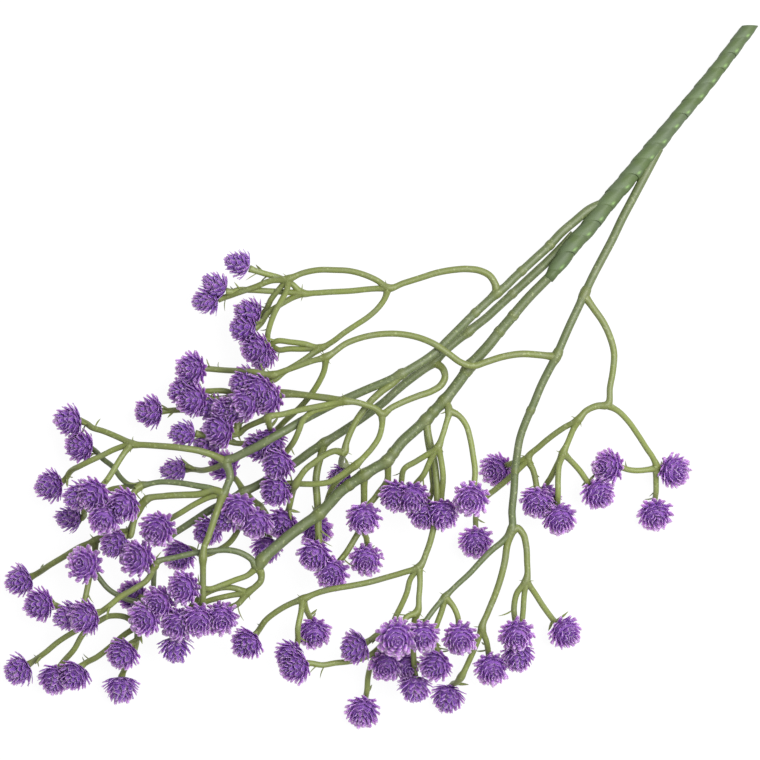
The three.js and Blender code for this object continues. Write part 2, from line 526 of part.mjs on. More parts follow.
// Heights. Where pieces cross or lie side by side, the higher one is lifted and the lower one
// pressed down until they clear each other, and the stems follow in smooth bends.
const SWEEPS = 120;
const PUSH = 0.6;
const RETURN = 0.02;
const SMOOTHING = 0.15;
const SAMPLE_STEP = 1.8;
const LARGEST_PUSH = 2.5;
const LEAST_SLOPE = 0.35;
const OWN_HEAD_LENGTH = 10;
const STIFFNESS = { branch: 0.3, sprig: 0.7, twig: 1, head: 0.5 };
const REACH_SIDE = 7.9;
const REACH_AXIS = 5.1;
const TABLE_GAP = 0.5;
const PRESS = 0.5;

const UP = new THREE.Vector3(0, 0, 1);
const DOWN = new THREE.Vector3(0, 0, -1);

function radians(degrees) {
  return (degrees * Math.PI) / 180;
}

// A place in the picture at a height, in the part's own millimetres.
function place(u, v, z) {
  const scale = PIXEL * (1 - z / EYE_HEIGHT);
  const right = (u - CENTRE_U) * scale;
  const up = (CENTRE_V - v) * scale;
  const turn = radians(TURN_DEG);
  return new THREE.Vector3(
    right * Math.cos(turn) - up * Math.sin(turn) + SHIFT_X,
    right * Math.sin(turn) + up * Math.cos(turn) + SHIFT_Y,
    z,
  );
}

// A direction in the picture (right, down, towards the eye) as a unit vector.
function facing(right, down, toEye) {
  const turn = radians(TURN_DEG);
  return new THREE.Vector3(
    right * Math.cos(turn) + down * Math.sin(turn),
    right * Math.sin(turn) - down * Math.cos(turn),
    toEye,
  ).normalize();
}

// Repeatable random numbers from 0 to 1.
function randomFrom(seed) {
  let state = seed >>> 0;
  return () => {
    state = (state + 0x6d2b79f5) >>> 0;
    let mixed = Math.imul(state ^ (state >>> 15), 1 | state);
    mixed = (mixed + Math.imul(mixed ^ (mixed >>> 7), 61 | mixed)) ^ mixed;
    return ((mixed ^ (mixed >>> 14)) >>> 0) / 4294967296;
  };
}

// How far a head reaches from its centre along a direction.
function headReach(head, direction) {
  const along = direction.dot(head.axis);
  const across = Math.sqrt(Math.max(0, 1 - along * along));
  return 1 / Math.hypot(across / (REACH_SIDE * head.size), along / REACH_AXIS);
}

// A movable height: a shift from the typed height, shared by all that moves as one.
function makeMover(stiffness) {
  return { shift: 0, lowest: -Infinity, stiffness, up: 0, down: 0, pull: 0, count: 0 };
}

function makeHead(name, mover) {
  const [u, v, z, right, down, toEye, size] = HEADS[name];
  const head = { name, u, v, size, mover, axis: facing(right, down, toEye) };
  const calyxDown = -HEAD_BACK * head.axis.z + TWIG_END_RADIUS + TABLE_GAP;
  const floor = Math.max(headReach(head, DOWN) - PRESS, calyxDown);
  head.base = z === 0 ? floor : z;
  if (z === 0) mover.stiffness = 0;
  mover.lowest = Math.max(mover.lowest, floor - head.base);
  return head;
}

function heightOf(item) {
  return item.base + item.mover.shift;
}

function centreOf(head) {
  return place(head.u, head.v, heightOf(head));
}

// A joint or a bend of a stem. One at a head hangs from the head's centre.
function knotPlace(knot) {
  if (!knot.head) return place(knot.u, knot.v, heightOf(knot));
  const back = knot.head.axis.clone().multiplyScalar(-knot.behind);
  const at = centreOf(knot.head).add(back);
  at.z = Math.max(at.z, TWIG_END_RADIUS + TABLE_GAP);
  return at;
}

function makeKnot(u, v, base, mover, radius) {
  mover.lowest = Math.max(mover.lowest, radius + TABLE_GAP - base);
  return { u, v, base, mover };
}

// Every head, joint and stem with its movable heights.
function makeNet() {
  const groupOf = new Map();
  for (const group of GROUPS) for (const name of group) groupOf.set(name, group);
  const movers = new Map();
  const heads = {};
  for (const name of Object.keys(HEADS)) {
    const group = groupOf.get(name) ?? name;
    if (!movers.has(group)) movers.set(group, makeMover(STIFFNESS.head));
    heads[name] = makeHead(name, movers.get(group));
    heads[name].group = group;
  }
  const joints = {};
  for (const [name, [u, v, z]] of Object.entries(JOINTS)) {
    joints[name] = makeKnot(u, v, z, makeMover(STIFFNESS.sprig), TWIG_RADIUS);
  }
  for (const name of FIXED_JOINTS) joints[name].mover.stiffness = 0;
  const runs = RUNS.map(([body, kind, from, via, to]) => {
    const end = heads[to] ?? joints[to];
    const [startRadius, endRadius] = radiiOf(body, kind, from, to);
    const run = { body, kind, from, to, startRadius, endRadius };
    const places = [[joints[from].u, joints[from].v], ...via, [end.u, end.v]];
    const lengths = [0];
    for (let i = 1; i < places.length; i++) {
      const step = Math.hypot(places[i][0] - places[i - 1][0], places[i][1] - places[i - 1][1]);
      lengths.push(lengths[i - 1] + step);
    }
    const endBase = heads[to] ? end.base + HEAD_BACK * end.axis.z : end.base;
    run.knots = [joints[from]];
    via.forEach(([u, v], i) => {
      const part = lengths[i + 1] / lengths[lengths.length - 1];
      const base = joints[from].base * (1 - part) + endBase * part;
      run.knots.push(makeKnot(u, v, base, makeMover(STIFFNESS[kind]), startRadius));
    });
    if (heads[to]) {
      const behind = -HEAD_BACK + HEAD_GAP;
      run.knots.push({ head: end, mover: end.mover, behind: behind + APPROACH });
      run.knots.push({ head: end, mover: end.mover, behind });
      run.head = end;
    } else {
      run.knots.push(end);
    }
    return run;
  });
  return { heads, joints, runs };
}

// The radii of a stem at its two ends.
function radiiOf(body, kind, from, to) {
  if (kind === "branch") {
    const { start, middle, end, first, last } = BRANCHES[body];
    return [from === first ? start : middle, to === last ? end : middle];
  }
  if (kind === "sprig") return [SPRIG_RADIUS, TWIG_RADIUS];
  return [TWIG_RADIUS, HEADS[to] ? TWIG_END_RADIUS : TWIG_RADIUS];
}

// Evenly spaced points of a stem, each with the two knots that carry it.
function samplesOf(run) {
  const places = run.knots.map(knotPlace);
  const samples = [];
  const total = routeLength(places);
  let before = 0;
  for (let i = 1; i < places.length; i++) {
    const length = places[i].distanceTo(places[i - 1]);
    const count = Math.max(1, Math.round(length / SAMPLE_STEP));
    for (let k = 0; k < count; k++) {
      const part = (k + 0.5) / count;
      const along = before + part * length;
      samples.push({
        run,
        part,
        first: run.knots[i - 1],
        second: run.knots[i],
        radius: run.startRadius + ((run.endRadius - run.startRadius) * along) / total,
        toEnd: total - along,
        at: places[i - 1].clone().lerp(places[i], part),
      });
    }
    before += length;
  }
  return samples;
}

function routeLength(places) {
  let total = 0;
  for (let i = 1; i < places.length; i++) total += places[i].distanceTo(places[i - 1]);
  return total;
}

function flatDistance(a, b) {
  return Math.hypot(a.x - b.x, a.y - b.y);
}

// Pairs that could touch at some height: heads of different groups, heads with stems, and stems
// of different branches. The first of each pair is the one that lies higher.
function findPairs(net, samples) {
  const pairs = [];
  const heads = Object.values(net.heads);
  const ordered = (a, b) => (a.at.z >= b.at.z ? [a, b] : [b, a]);
  for (const head of heads) head.at = centreOf(head);
  for (let i = 0; i < heads.length; i++) {
    for (let k = i + 1; k < heads.length; k++) {
      if (heads[i].group === heads[k].group) continue;
      if (flatDistance(heads[i].at, heads[k].at) < 2 * REACH_SIDE + 1) {
        pairs.push(ordered(heads[i], heads[k]));
      }
    }
    for (const sample of samples) {
      const own = sample.run.head?.group === heads[i].group;
      if (own && sample.toEnd < OWN_HEAD_LENGTH) continue;
      if (flatDistance(heads[i].at, sample.at) < REACH_SIDE + 3) {
        pairs.push(ordered(heads[i], sample));
      }
    }
  }
  for (let i = 0; i < samples.length; i++) {
    for (let k = i + 1; k < samples.length; k++) {
      if (samples[i].run.body === samples[k].run.body) continue;
      if (flatDistance(samples[i].at, samples[k].at) < samples[i].radius + samples[k].radius + 1.5) {
        pairs.push(ordered(samples[i], samples[k]));
      }
    }
  }
  return pairs;
}

function reachOf(item, direction) {
  return item.axis ? headReach(item, direction) : item.radius;
}

// Record a push up or down on whatever carries an item.
function push(item, amount) {
  const shares = item.axis
    ? [[item.mover, 1]]
    : [[item.first.mover, 1 - item.part], [item.second.mover, item.part]];
  const norm = shares.reduce((sum, [, share]) => sum + share * share, 0);
  for (const [mover, share] of shares) {
    const moved = (amount * share) / norm;
    if (moved > 0) mover.up = Math.max(mover.up, moved);
    else mover.down = Math.min(mover.down, moved);
  }
}

function stiffnessOf(item) {
  if (item.axis) return item.mover.stiffness;
  return item.first.mover.stiffness * (1 - item.part) + item.second.mover.stiffness * item.part;
}

function pushApart(upper, lower) {
  const offset = upper.at.clone().sub(lower.at);
  const distance = Math.max(offset.length(), 1e-6);
  const direction = offset.clone().divideScalar(distance);
  const need = reachOf(upper, direction) + reachOf(lower, direction) + CLEARANCE;
  if (distance >= need) return;
  const slope = Math.max(LEAST_SLOPE, Math.abs(direction.z));
  const amount = direction.z > 0 ? (need - distance) / slope : need / 2 - offset.z;
  const total = Math.min(amount, LARGEST_PUSH) * PUSH;
  const upperShare = stiffnessOf(upper);
  const lowerShare = stiffnessOf(lower);
  const sum = upperShare + lowerShare;
  if (sum === 0) return;
  push(upper, (total * upperShare) / sum);
  push(lower, (-total * lowerShare) / sum);
}

function settle(net) {
  const samples = net.runs.flatMap(samplesOf);
  const pairs = findPairs(net, samples);
  const movers = new Set(Object.values(net.heads).map((head) => head.mover));
  for (const run of net.runs) for (const knot of run.knots) movers.add(knot.mover);
  for (let sweep = 0; sweep < SWEEPS; sweep++) {
    for (const head of Object.values(net.heads)) head.at = centreOf(head);
    for (const sample of samples) {
      sample.at = knotPlace(sample.first).lerp(knotPlace(sample.second), sample.part);
    }
    for (const [upper, lower] of pairs) pushApart(upper, lower);
    for (const run of net.runs) {
      for (let i = 1; i < run.knots.length; i++) {
        const a = run.knots[i - 1].mover;
        const b = run.knots[i].mover;
        a.pull += b.shift - a.shift;
        b.pull += a.shift - b.shift;
        a.count += 1;
        b.count += 1;
      }
    }
    for (const mover of movers) {
      if (mover.stiffness > 0) {
        const smoothed = (SMOOTHING * mover.pull) / Math.max(1, mover.count);
        mover.shift += mover.up + mover.down + smoothed - RETURN * mover.shift;
        mover.shift = Math.max(mover.shift, mover.lowest);
      }
      mover.up = 0;
      mover.down = 0;
      mover.pull = 0;
      mover.count = 0;
    }
  }
}

// A solid from shared corners and triangles.
function geometryFrom(corners, triangles) {
  const geometry = new THREE.BufferGeometry();
  const flat = corners.flatMap((corner) => [corner.x, corner.y, corner.z]);
  geometry.setAttribute("position", new THREE.Float32BufferAttribute(flat, 3));
  geometry.setIndex(triangles.flat());
  return geometry;
}

function solidOf(geometry) {
  return new wasm.Manifold(
    new wasm.Mesh({
      numProp: 3,
      vertProperties: new Float32Array(geometry.getAttribute("position").array),
      triVerts: new Uint32Array(geometry.getIndex().array),
    }),
  );
}

function geometryOf(solid) {
  const { vertProperties, triVerts } = solid.getMesh();
  const geometry = new THREE.BufferGeometry();
  geometry.setAttribute("position", new THREE.Float32BufferAttribute(vertProperties, 3));
  geometry.setIndex(Array.from(triVerts));
  return geometry;
}

// Rings of corners joined to a closed skin, flat at both ends, or pointed where a corner is given.
function skin(rings, start, end) {
  const sides = rings[0].length;
  const last = (rings.length - 1) * sides;
  const corners = rings.flat();
  const triangles = [];
  for (let i = 0; i < sides; i++) {
    const next = (i + 1) % sides;
    for (let low = 0; low < last; low += sides) {
      const high = low + sides;
      triangles.push([low + i, low + next, high + next], [low + i, high + next, high + i]);
    }
    const inner = i > 0 && i < sides - 1;
    if (start) triangles.push([corners.length, next, i]);
    else if (inner) triangles.push([0, next, i]);
    if (end) triangles.push([corners.length + (start ? 1 : 0), last + i, last + next]);
    else if (inner) triangles.push([last, last + i, last + next]);
  }
  if (start) corners.push(start);
  if (end) corners.push(end);
  return geometryFrom(corners, triangles);
}

// Drop the places of a route that lie within a small distance of the straight line past them.
function thinned(places, radii, tolerance) {
  const keep = new Set([0, places.length - 1]);
  const divide = (from, to) => {
    const line = new THREE.Line3(places[from], places[to]);
    const nearest = new THREE.Vector3();
    let worst = tolerance;
    let at = -1;
    for (let i = from + 1; i < to; i++) {
      line.closestPointToPoint(places[i], true, nearest);
      const off = nearest.distanceTo(places[i]);
      if (off > worst) {
        worst = off;
        at = i;
      }
    }
    if (at < 0) return;
    keep.add(at);
    divide(from, at);
    divide(at, to);
  };
  divide(0, places.length - 1);
  const kept = [...keep].sort((a, b) => a - b);
  return [kept.map((i) => places[i]), kept.map((i) => radii[i])];
}

// Across directions along a route, turned as little as possible from one place to the next.
function framesAlong(places) {
  const frames = [];
  let side = null;
  for (let i = 0; i < places.length; i++) {
    const back = places[Math.max(0, i - 1)];
    const ahead = places[Math.min(places.length - 1, i + 1)];
    const along = ahead.clone().sub(back).normalize();
    if (!side) {
      const across = new THREE.Vector3().crossVectors(UP, along);
      side = Math.abs(along.z) < NEARLY_UPRIGHT ? across : new THREE.Vector3(1, 0, 0);
    }
    side = side.clone().addScaledVector(along, -side.dot(along)).normalize();
    frames.push({ along, side, other: new THREE.Vector3().crossVectors(along, side) });
  }
  return frames;
}

function ringAt(centre, frame, radius, sides) {
  const ring = [];
  for (let i = 0; i < sides; i++) {
    const angle = ((i + 0.5) / sides) * 2 * Math.PI;
    ring.push(
      centre
        .clone()
        .addScaledVector(frame.side, radius * Math.cos(angle))
        .addScaledVector(frame.other, radius * Math.sin(angle)),
    );
  }
  return ring;
}

// A stem swept along its places, with flat ends.
function tube(places, radii, sides) {
  const frames = framesAlong(places);
  return solidOf(skin(places.map((at, i) => ringAt(at, frames[i], radii[i], sides))));
}

// A head: a calyx at the back and rings of pointed petals, each ring turned half a step.
function headSolid(head, random, grow = 0) {
  const frame = framesAlong([new THREE.Vector3(), head.axis])[0];
  const centre = centreOf(head);
  const roll = random() * 2 * Math.PI;
  const at = (along, across, step) => {
    const angle = roll + (step / petals) * 2 * Math.PI;
    const radius = across * head.size + grow;
    return centre
      .clone()
      .addScaledVector(head.axis, along)
      .addScaledVector(frame.side, radius * Math.cos(angle))
      .addScaledVector(frame.other, radius * Math.sin(angle));
  };
  const petals = head.group === head.name ? PETALS_ALONE : PETALS_IN_BUNCH;
  const last = HEAD_RINGS.length - 1;
  const front = HEAD_RINGS.length * petals;
  const index = (ring, i) => ring * petals + (i % petals);
  const corners = [];
  const triangles = [];
  HEAD_RINGS.forEach(([along, across], ring) => {
    for (let i = 0; i < petals; i++) corners.push(at(along, across, i + (ring % 2) / 2));
  });
  corners.push(centre.clone().addScaledVector(head.axis, HEAD_FRONT));
  for (let i = 0; i < petals; i++) {
    triangles.push([index(0, i), index(0, i + 1), index(1, i)]);
    if (i > 0 && i < petals - 1) triangles.push([index(0, 0), index(0, i + 1), index(0, i)]);
    HEAD_TIPS.forEach(([along, across], row) => {
      const ring = row + 1;
      const middle = i + (ring % 2);
      const ahead = ring === last ? front : index(ring + 1, middle);
      const loop = [index(ring, i), index(ring - 1, middle), index(ring, i + 1), ahead];
      const tip = corners.length;
      const step = i + (ring % 2) / 2 + 0.5 + (random() - 0.5) * TIP_TWIST;
      const stretch = 1 + (random() - 0.5) * TIP_SPREAD;
      corners.push(at(along + (random() - 0.5) * TIP_WAVE, across * stretch, step));
      loop.forEach((corner, k) => triangles.push([corner, loop[(k + 1) % 4], tip]));
    });
  }
  return solidOf(geometryFrom(corners, triangles));
}

// The plain round space that a head takes up, with a gap round it.
function headSpace(head) {
  const centre = centreOf(head);
  const frame = framesAlong([new THREE.Vector3(), head.axis])[0];
  const rings = HEAD_SPACE.map(([along, across]) =>
    ringAt(
      centre.clone().addScaledVector(head.axis, along),
      frame,
      across * head.size,
      HEAD_SPACE_SIDES,
    ),
  );
  return solidOf(skin(rings));
}

// Runs that follow on from one another make one strand, so that only side stems start at a joint.
function strandsOf(net, body) {
  const strands = [];
  const continued = new Set();
  for (const run of net.runs) {
    if (run.body !== body || continued.has(run)) continue;
    const strand = [run];
    for (let last = run; last; ) {
      last = net.runs.find((next) => next.from === last.to && next.body === body && !next.taken);
      if (last) {
        last.taken = true;
        continued.add(last);
        strand.push(last);
      }
    }
    strands.push(strand);
  }
  return strands;
}

// A strand's places and radii after its heights have settled. A branch has a sleeve that steps
// out and tapers in again at each joint on its way, and a twig swells a little at its forks.
function routeOf(strand) {
  const places = [];
  const radii = [];
  for (const run of strand) {
    const fresh = run.knots.map(knotPlace);
    const total = routeLength(fresh);
    let along = 0;
    const freshRadii = fresh.map((at, i) => {
      if (i > 0) along += at.distanceTo(fresh[i - 1]);
      const share = run.head && i < fresh.length - 1 ? 0 : along / total;
      return run.startRadius + (run.endRadius - run.startRadius) * share;
    });
    const [kept, keptRadii] = thinned(fresh, freshRadii, THINNING);
    if (places.length > 0) {
      const joint = places.pop();
      radii.pop();
      kept.shift();
      const radius = keptRadii.shift();
      if (run.kind === "branch") {
        const back = places[places.length - 1].clone().sub(joint).setLength(COLLAR_LENGTH / 2);
        const ahead = kept[0].clone().sub(joint).setLength(COLLAR_LENGTH / 2);
        places.push(joint.clone().add(back), joint.clone().addScaledVector(back, COLLAR_STEP));
        places.push(joint.clone().add(ahead));
        radii.push(radius, radius + COLLAR_EXTRA, radius);
      } else {
        places.push(joint);
        radii.push(radius + KNUCKLE_EXTRA);
      }
    }
    places.push(...kept);
    radii.push(...keptRadii);
  }
  return { places, radii };
}

function strandSolid(strand, grow = 0) {
  const { places, radii } = routeOf(strand);
  const sides = SIDES[strand[0].kind];
  const swell = sides === 3 ? THREE_SIDED_SWELL : 1;
  if (strand[0].kind !== "branch") {
    const onward = places[1].clone().sub(places[0]).setLength(ROOT_TAPER);
    places.splice(1, 0, places[0].clone().add(onward));
    radii.splice(1, 0, radii[0]);
    radii[0] *= ROOT_SHARE;
  }
  return tube(places, radii.map((radius) => radius * swell + grow), sides);
}

// One branch with its sprigs and twigs, fused.
function branchSolid(net, body, tapeSpace) {
  const pieces = net.strands[body].map((strand) => strandSolid(strand));
  return wasm.Manifold.union(pieces).subtract(tapeSpace).simplify(SLIVER);
}

// The taped main stem: each turn of tape swells towards its lower edge and steps back in.
function tapeRoute(net) {
  const knots = STEM_ROUTE.map(([at, radius]) => {
    const joint = net.joints[at];
    return { u: joint ? joint.u : at[0], v: joint ? joint.v : at[1], base: joint?.base, radius };
  });
  const flat = knots.map((knot) => place(knot.u, knot.v, 0));
  const lengths = [0];
  for (let i = 1; i < knots.length; i++) {
    lengths.push(lengths[i - 1] + flat[i].distanceTo(flat[i - 1]));
  }
  const known = knots.map((knot, i) => i).filter((i) => knots[i].base !== undefined);
  const places = knots.map((knot, i) => {
    const after = known.find((k) => k >= i);
    const before = known.filter((k) => k <= i).pop();
    const span = lengths[after] - lengths[before];
    const part = span > 0 ? (lengths[i] - lengths[before]) / span : 0;
    return place(knot.u, knot.v, knots[before].base * (1 - part) + knots[after].base * part);
  });
  places[0].addScaledVector(places[0].clone().sub(places[1]).normalize(), CUT_OVERRUN);
  return { places, radii: knots.map((knot) => knot.radius) };
}

function alongRoute({ places, radii }, distance) {
  let before = 0;
  for (let i = 1; i < places.length; i++) {
    const length = places[i].distanceTo(places[i - 1]);
    if (distance <= before + length || i === places.length - 1) {
      const part = (distance - before) / length;
      return {
        at: places[i - 1].clone().lerp(places[i], part),
        radius: radii[i - 1] * (1 - part) + radii[i] * part,
      };
    }
    before += length;
  }
}

function tapeSolid(route, grow = 0) {
  const total = routeLength(route.places);
  const stations = [];
  for (let start = 0; start < total; start += TAPE_PITCH) {
    stations.push([start, 0], [Math.min(start + TAPE_PITCH * TAPE_LAP, total), TAPE_BULGE]);
  }
  const points = stations.map(([distance]) => alongRoute(route, distance));
  const frames = framesAlong(points.map(({ at }) => at));
  const rings = points.map(({ at, radius }, i) => {
    const ring = ringAt(at, frames[i], radius + stations[i][1] + grow, TAPE_SIDES);
    const ends = i === 0 || i === points.length - 1;
    ring.forEach((corner, k) => {
      const angle = ((k + 0.5) / TAPE_SIDES) * 2 * Math.PI;
      if (!ends) corner.addScaledVector(frames[i].along, TAPE_SLANT * Math.cos(angle));
    });
    return ring;
  });
  return solidOf(skin(rings));
}

// A block, used to take away all that lies past the slanting cut or below the table.
function boxSolid(centre, size, turn) {
  const geometry = new THREE.BoxGeometry(...size);
  geometry.rotateZ(turn);
  geometry.translate(centre.x, centre.y, centre.z);
  geometry.deleteAttribute("normal");
  geometry.deleteAttribute("uv");
  return solidOf(mergeVertices(geometry));
}

function pastCut() {
  const size = CUT_BLOCK;
  const edge = place(JOINTS.cut[0], CUT_V, JOINTS.cut[2]);
  const centre = edge.addScaledVector(facing(0, -1, 0), size / 2);
  return boxSolid(centre, [size, size, size], radians(TURN_DEG));
}

function belowTable() {
  const centre = new THREE.Vector3(0, 0, -TABLE_BLOCK / 2);
  return boxSolid(centre, [TABLE_BLOCK, TABLE_BLOCK, TABLE_BLOCK], 0);
}

// A round rod from the cut back into the stem.
function coreRod(route, radius, depth) {
  const from = alongRoute(route, 0).at;
  const to = alongRoute(route, CUT_OVERRUN + depth).at;
  return tube([from, to], [radius, radius], TAPE_SIDES);
}

function largestPiece(solid) {
  const pieces = solid.decompose();
  return pieces.reduce((best, piece) => (piece.volume() > best.volume() ? piece : best));
}

function overlaps(a, b) {
  return a.intersect(b).volume() > LEAST_OVERLAP;
}

function addMesh(group, name, solid, colour) {
  const material = new THREE.MeshStandardMaterial({ color: colour, roughness: 0.5 });
  const mesh = new THREE.Mesh(geometryOf(solid), material);
  mesh.name = name;
  group.add(mesh);
}

// The heads of one group, fused, with grooves where a stem or a higher head needs room.
function bunchSolid(net, bunch, table) {
  let solid = wasm.Manifold.union(bunch.heads.map((head) => head.solid));
  for (const strand of Object.values(net.strands).flat()) {
    const space = strandSolid(strand, GROOVE_GAP);
    if (overlaps(solid, space)) solid = solid.subtract(space);
  }
  return solid.subtract(table);
}

function build() {
  const net = makeNet();
  settle(net);
  net.strands = {};
  for (const body of Object.keys(BRANCHES)) net.strands[body] = strandsOf(net, body);
  const group = new THREE.Group();
  group.name = "gypsophila_spray";
  const table = belowTable();
  const cut = pastCut();
  const route = tapeRoute(net);
  const tape = tapeSolid(route)
    .subtract(cut)
    .subtract(coreRod(route, WIRE_RADIUS + WIRE_GAP, WIRE_DEPTH + WIRE_GAP))
    .subtract(table);
  addMesh(group, "stem_tape", tape, TAPE_COLOUR);
  addMesh(group, "stem_wire", coreRod(route, WIRE_RADIUS, WIRE_DEPTH).subtract(cut), WIRE_COLOUR);
  const tapeSpace = tapeSolid(route, CLEARANCE);
  const branches = [];
  for (const body of Object.keys(BRANCHES)) {
    const solid = largestPiece(branchSolid(net, body, tapeSpace));
    branches.push(solid);
    addMesh(group, `branch_stem_${body.toLowerCase()}`, solid, BRANCH_COLOUR);
  }
  const random = randomFrom(HEAD_SEED);
  for (const head of Object.values(net.heads)) head.solid = headSolid(head, random);
  const bunches = [];
  for (const head of Object.values(net.heads)) {
    let bunch = bunches.find(({ group: members }) => members === head.group);
    if (!bunch) {
      bunch = { group: head.group, heads: [] };
      bunches.push(bunch);
    }
    bunch.heads.push(head);
  }
  for (const bunch of bunches) bunch.solid = bunchSolid(net, bunch, table);
  for (const bunch of bunches) {
    for (const other of bunches) {
      if (other === bunch || !overlaps(bunch.solid, other.solid)) continue;
      const firstIsUpper = heightOf(bunch.heads[0]) > heightOf(other.heads[0]);
      const [upper, lower] = firstIsUpper ? [bunch, other] : [other, bunch];
      for (const head of upper.heads) {
        const space = headSpace(head);
        if (overlaps(lower.solid, space)) lower.solid = lower.solid.subtract(space);
      }
    }
  }
  for (const bunch of bunches) {
    const name = `flower_heads_${bunch.heads[0].name}`;
    let solid = bunch.solid.simplify(SLIVER);
    for (const branch of branches) if (overlaps(solid, branch)) solid = solid.subtract(branch);
    addMesh(group, name, largestPiece(solid), HEAD_COLOUR);
  }
  return group;
}

export default build();
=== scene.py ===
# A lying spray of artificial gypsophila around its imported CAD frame: a tape-wrapped main stem,
# moulded branch stems with three-way forks, and pompon heads of narrow cupped petals.
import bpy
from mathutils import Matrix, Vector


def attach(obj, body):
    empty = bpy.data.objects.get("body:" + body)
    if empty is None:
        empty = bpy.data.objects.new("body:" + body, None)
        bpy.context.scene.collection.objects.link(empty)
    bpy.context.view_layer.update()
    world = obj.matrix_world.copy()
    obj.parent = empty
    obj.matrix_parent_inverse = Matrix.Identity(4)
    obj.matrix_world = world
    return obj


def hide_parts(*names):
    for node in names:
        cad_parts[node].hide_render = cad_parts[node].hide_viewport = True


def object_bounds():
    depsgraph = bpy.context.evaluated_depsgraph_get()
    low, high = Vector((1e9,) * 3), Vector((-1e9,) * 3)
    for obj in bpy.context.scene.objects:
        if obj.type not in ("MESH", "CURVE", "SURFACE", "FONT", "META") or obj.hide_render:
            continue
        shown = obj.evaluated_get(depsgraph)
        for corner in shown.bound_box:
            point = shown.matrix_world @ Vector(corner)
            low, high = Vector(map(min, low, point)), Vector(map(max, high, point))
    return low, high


bl_info = {
    "name": "Artificial Gypsophila Spray",
    "version": (1, 0, 0),
    "blender": (4, 5, 0),
    "location": "View3D > Sidebar > Gypsophila",
    "description": "Builds the petals, moulded stems and wound tape of an artificial gypsophila spray",
    "category": "Add Mesh",
}

import functools
import math

import bpy
import numpy as np
from mathutils import Matrix

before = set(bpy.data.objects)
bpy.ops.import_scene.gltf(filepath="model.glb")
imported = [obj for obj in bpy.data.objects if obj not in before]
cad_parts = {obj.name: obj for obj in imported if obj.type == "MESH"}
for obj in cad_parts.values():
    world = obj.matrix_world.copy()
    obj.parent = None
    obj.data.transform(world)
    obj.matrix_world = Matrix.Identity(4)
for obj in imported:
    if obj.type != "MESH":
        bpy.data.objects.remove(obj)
CAD_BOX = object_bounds()

# One millimetre in metres.
MM = 0.001

# How the spray lies in the picture it was measured from. One picture pixel is this many
# millimetres at table height, seen from straight above.
PIXEL = 0.4
PICTURE_SIZE = 760
CENTRE_U = 380
CENTRE_V = 380
EYE_HEIGHT = 1000
TURN = math.radians(-131.9)
SHIFT_X = 26.8
SHIFT_Y = 8.3

# Stem sizes, as radii in millimetres.
TAPE_RADIUS_TOP = 2.6
TAPE_RADIUS_MIDDLE = 2.8
TAPE_RADIUS_BUNDLE = 3.1
TAPE_RADIUS_TAPER = 2.15
TAPE_RADIUS_END = 1.95
WIRE_RADIUS = 0.8
SPRIG_RADIUS = 1.2
TWIG_RADIUS = 1.0
TWIG_END_RADIUS = 1.3
# Start, middle and end radius of each branch, and its first and last joint.
BRANCHES = {
    "A": (1.7, 1.6, 1.3, "aRoot", "aNode4"),
    "B": (1.7, 1.6, 1.2, "bRoot", "bEnd"),
    "C": (1.75, 2.05, 1.5, "cRoot", "cNode8"),
    "D": (1.7, 1.55, 1.4, "dRoot", "dNode3"),
}

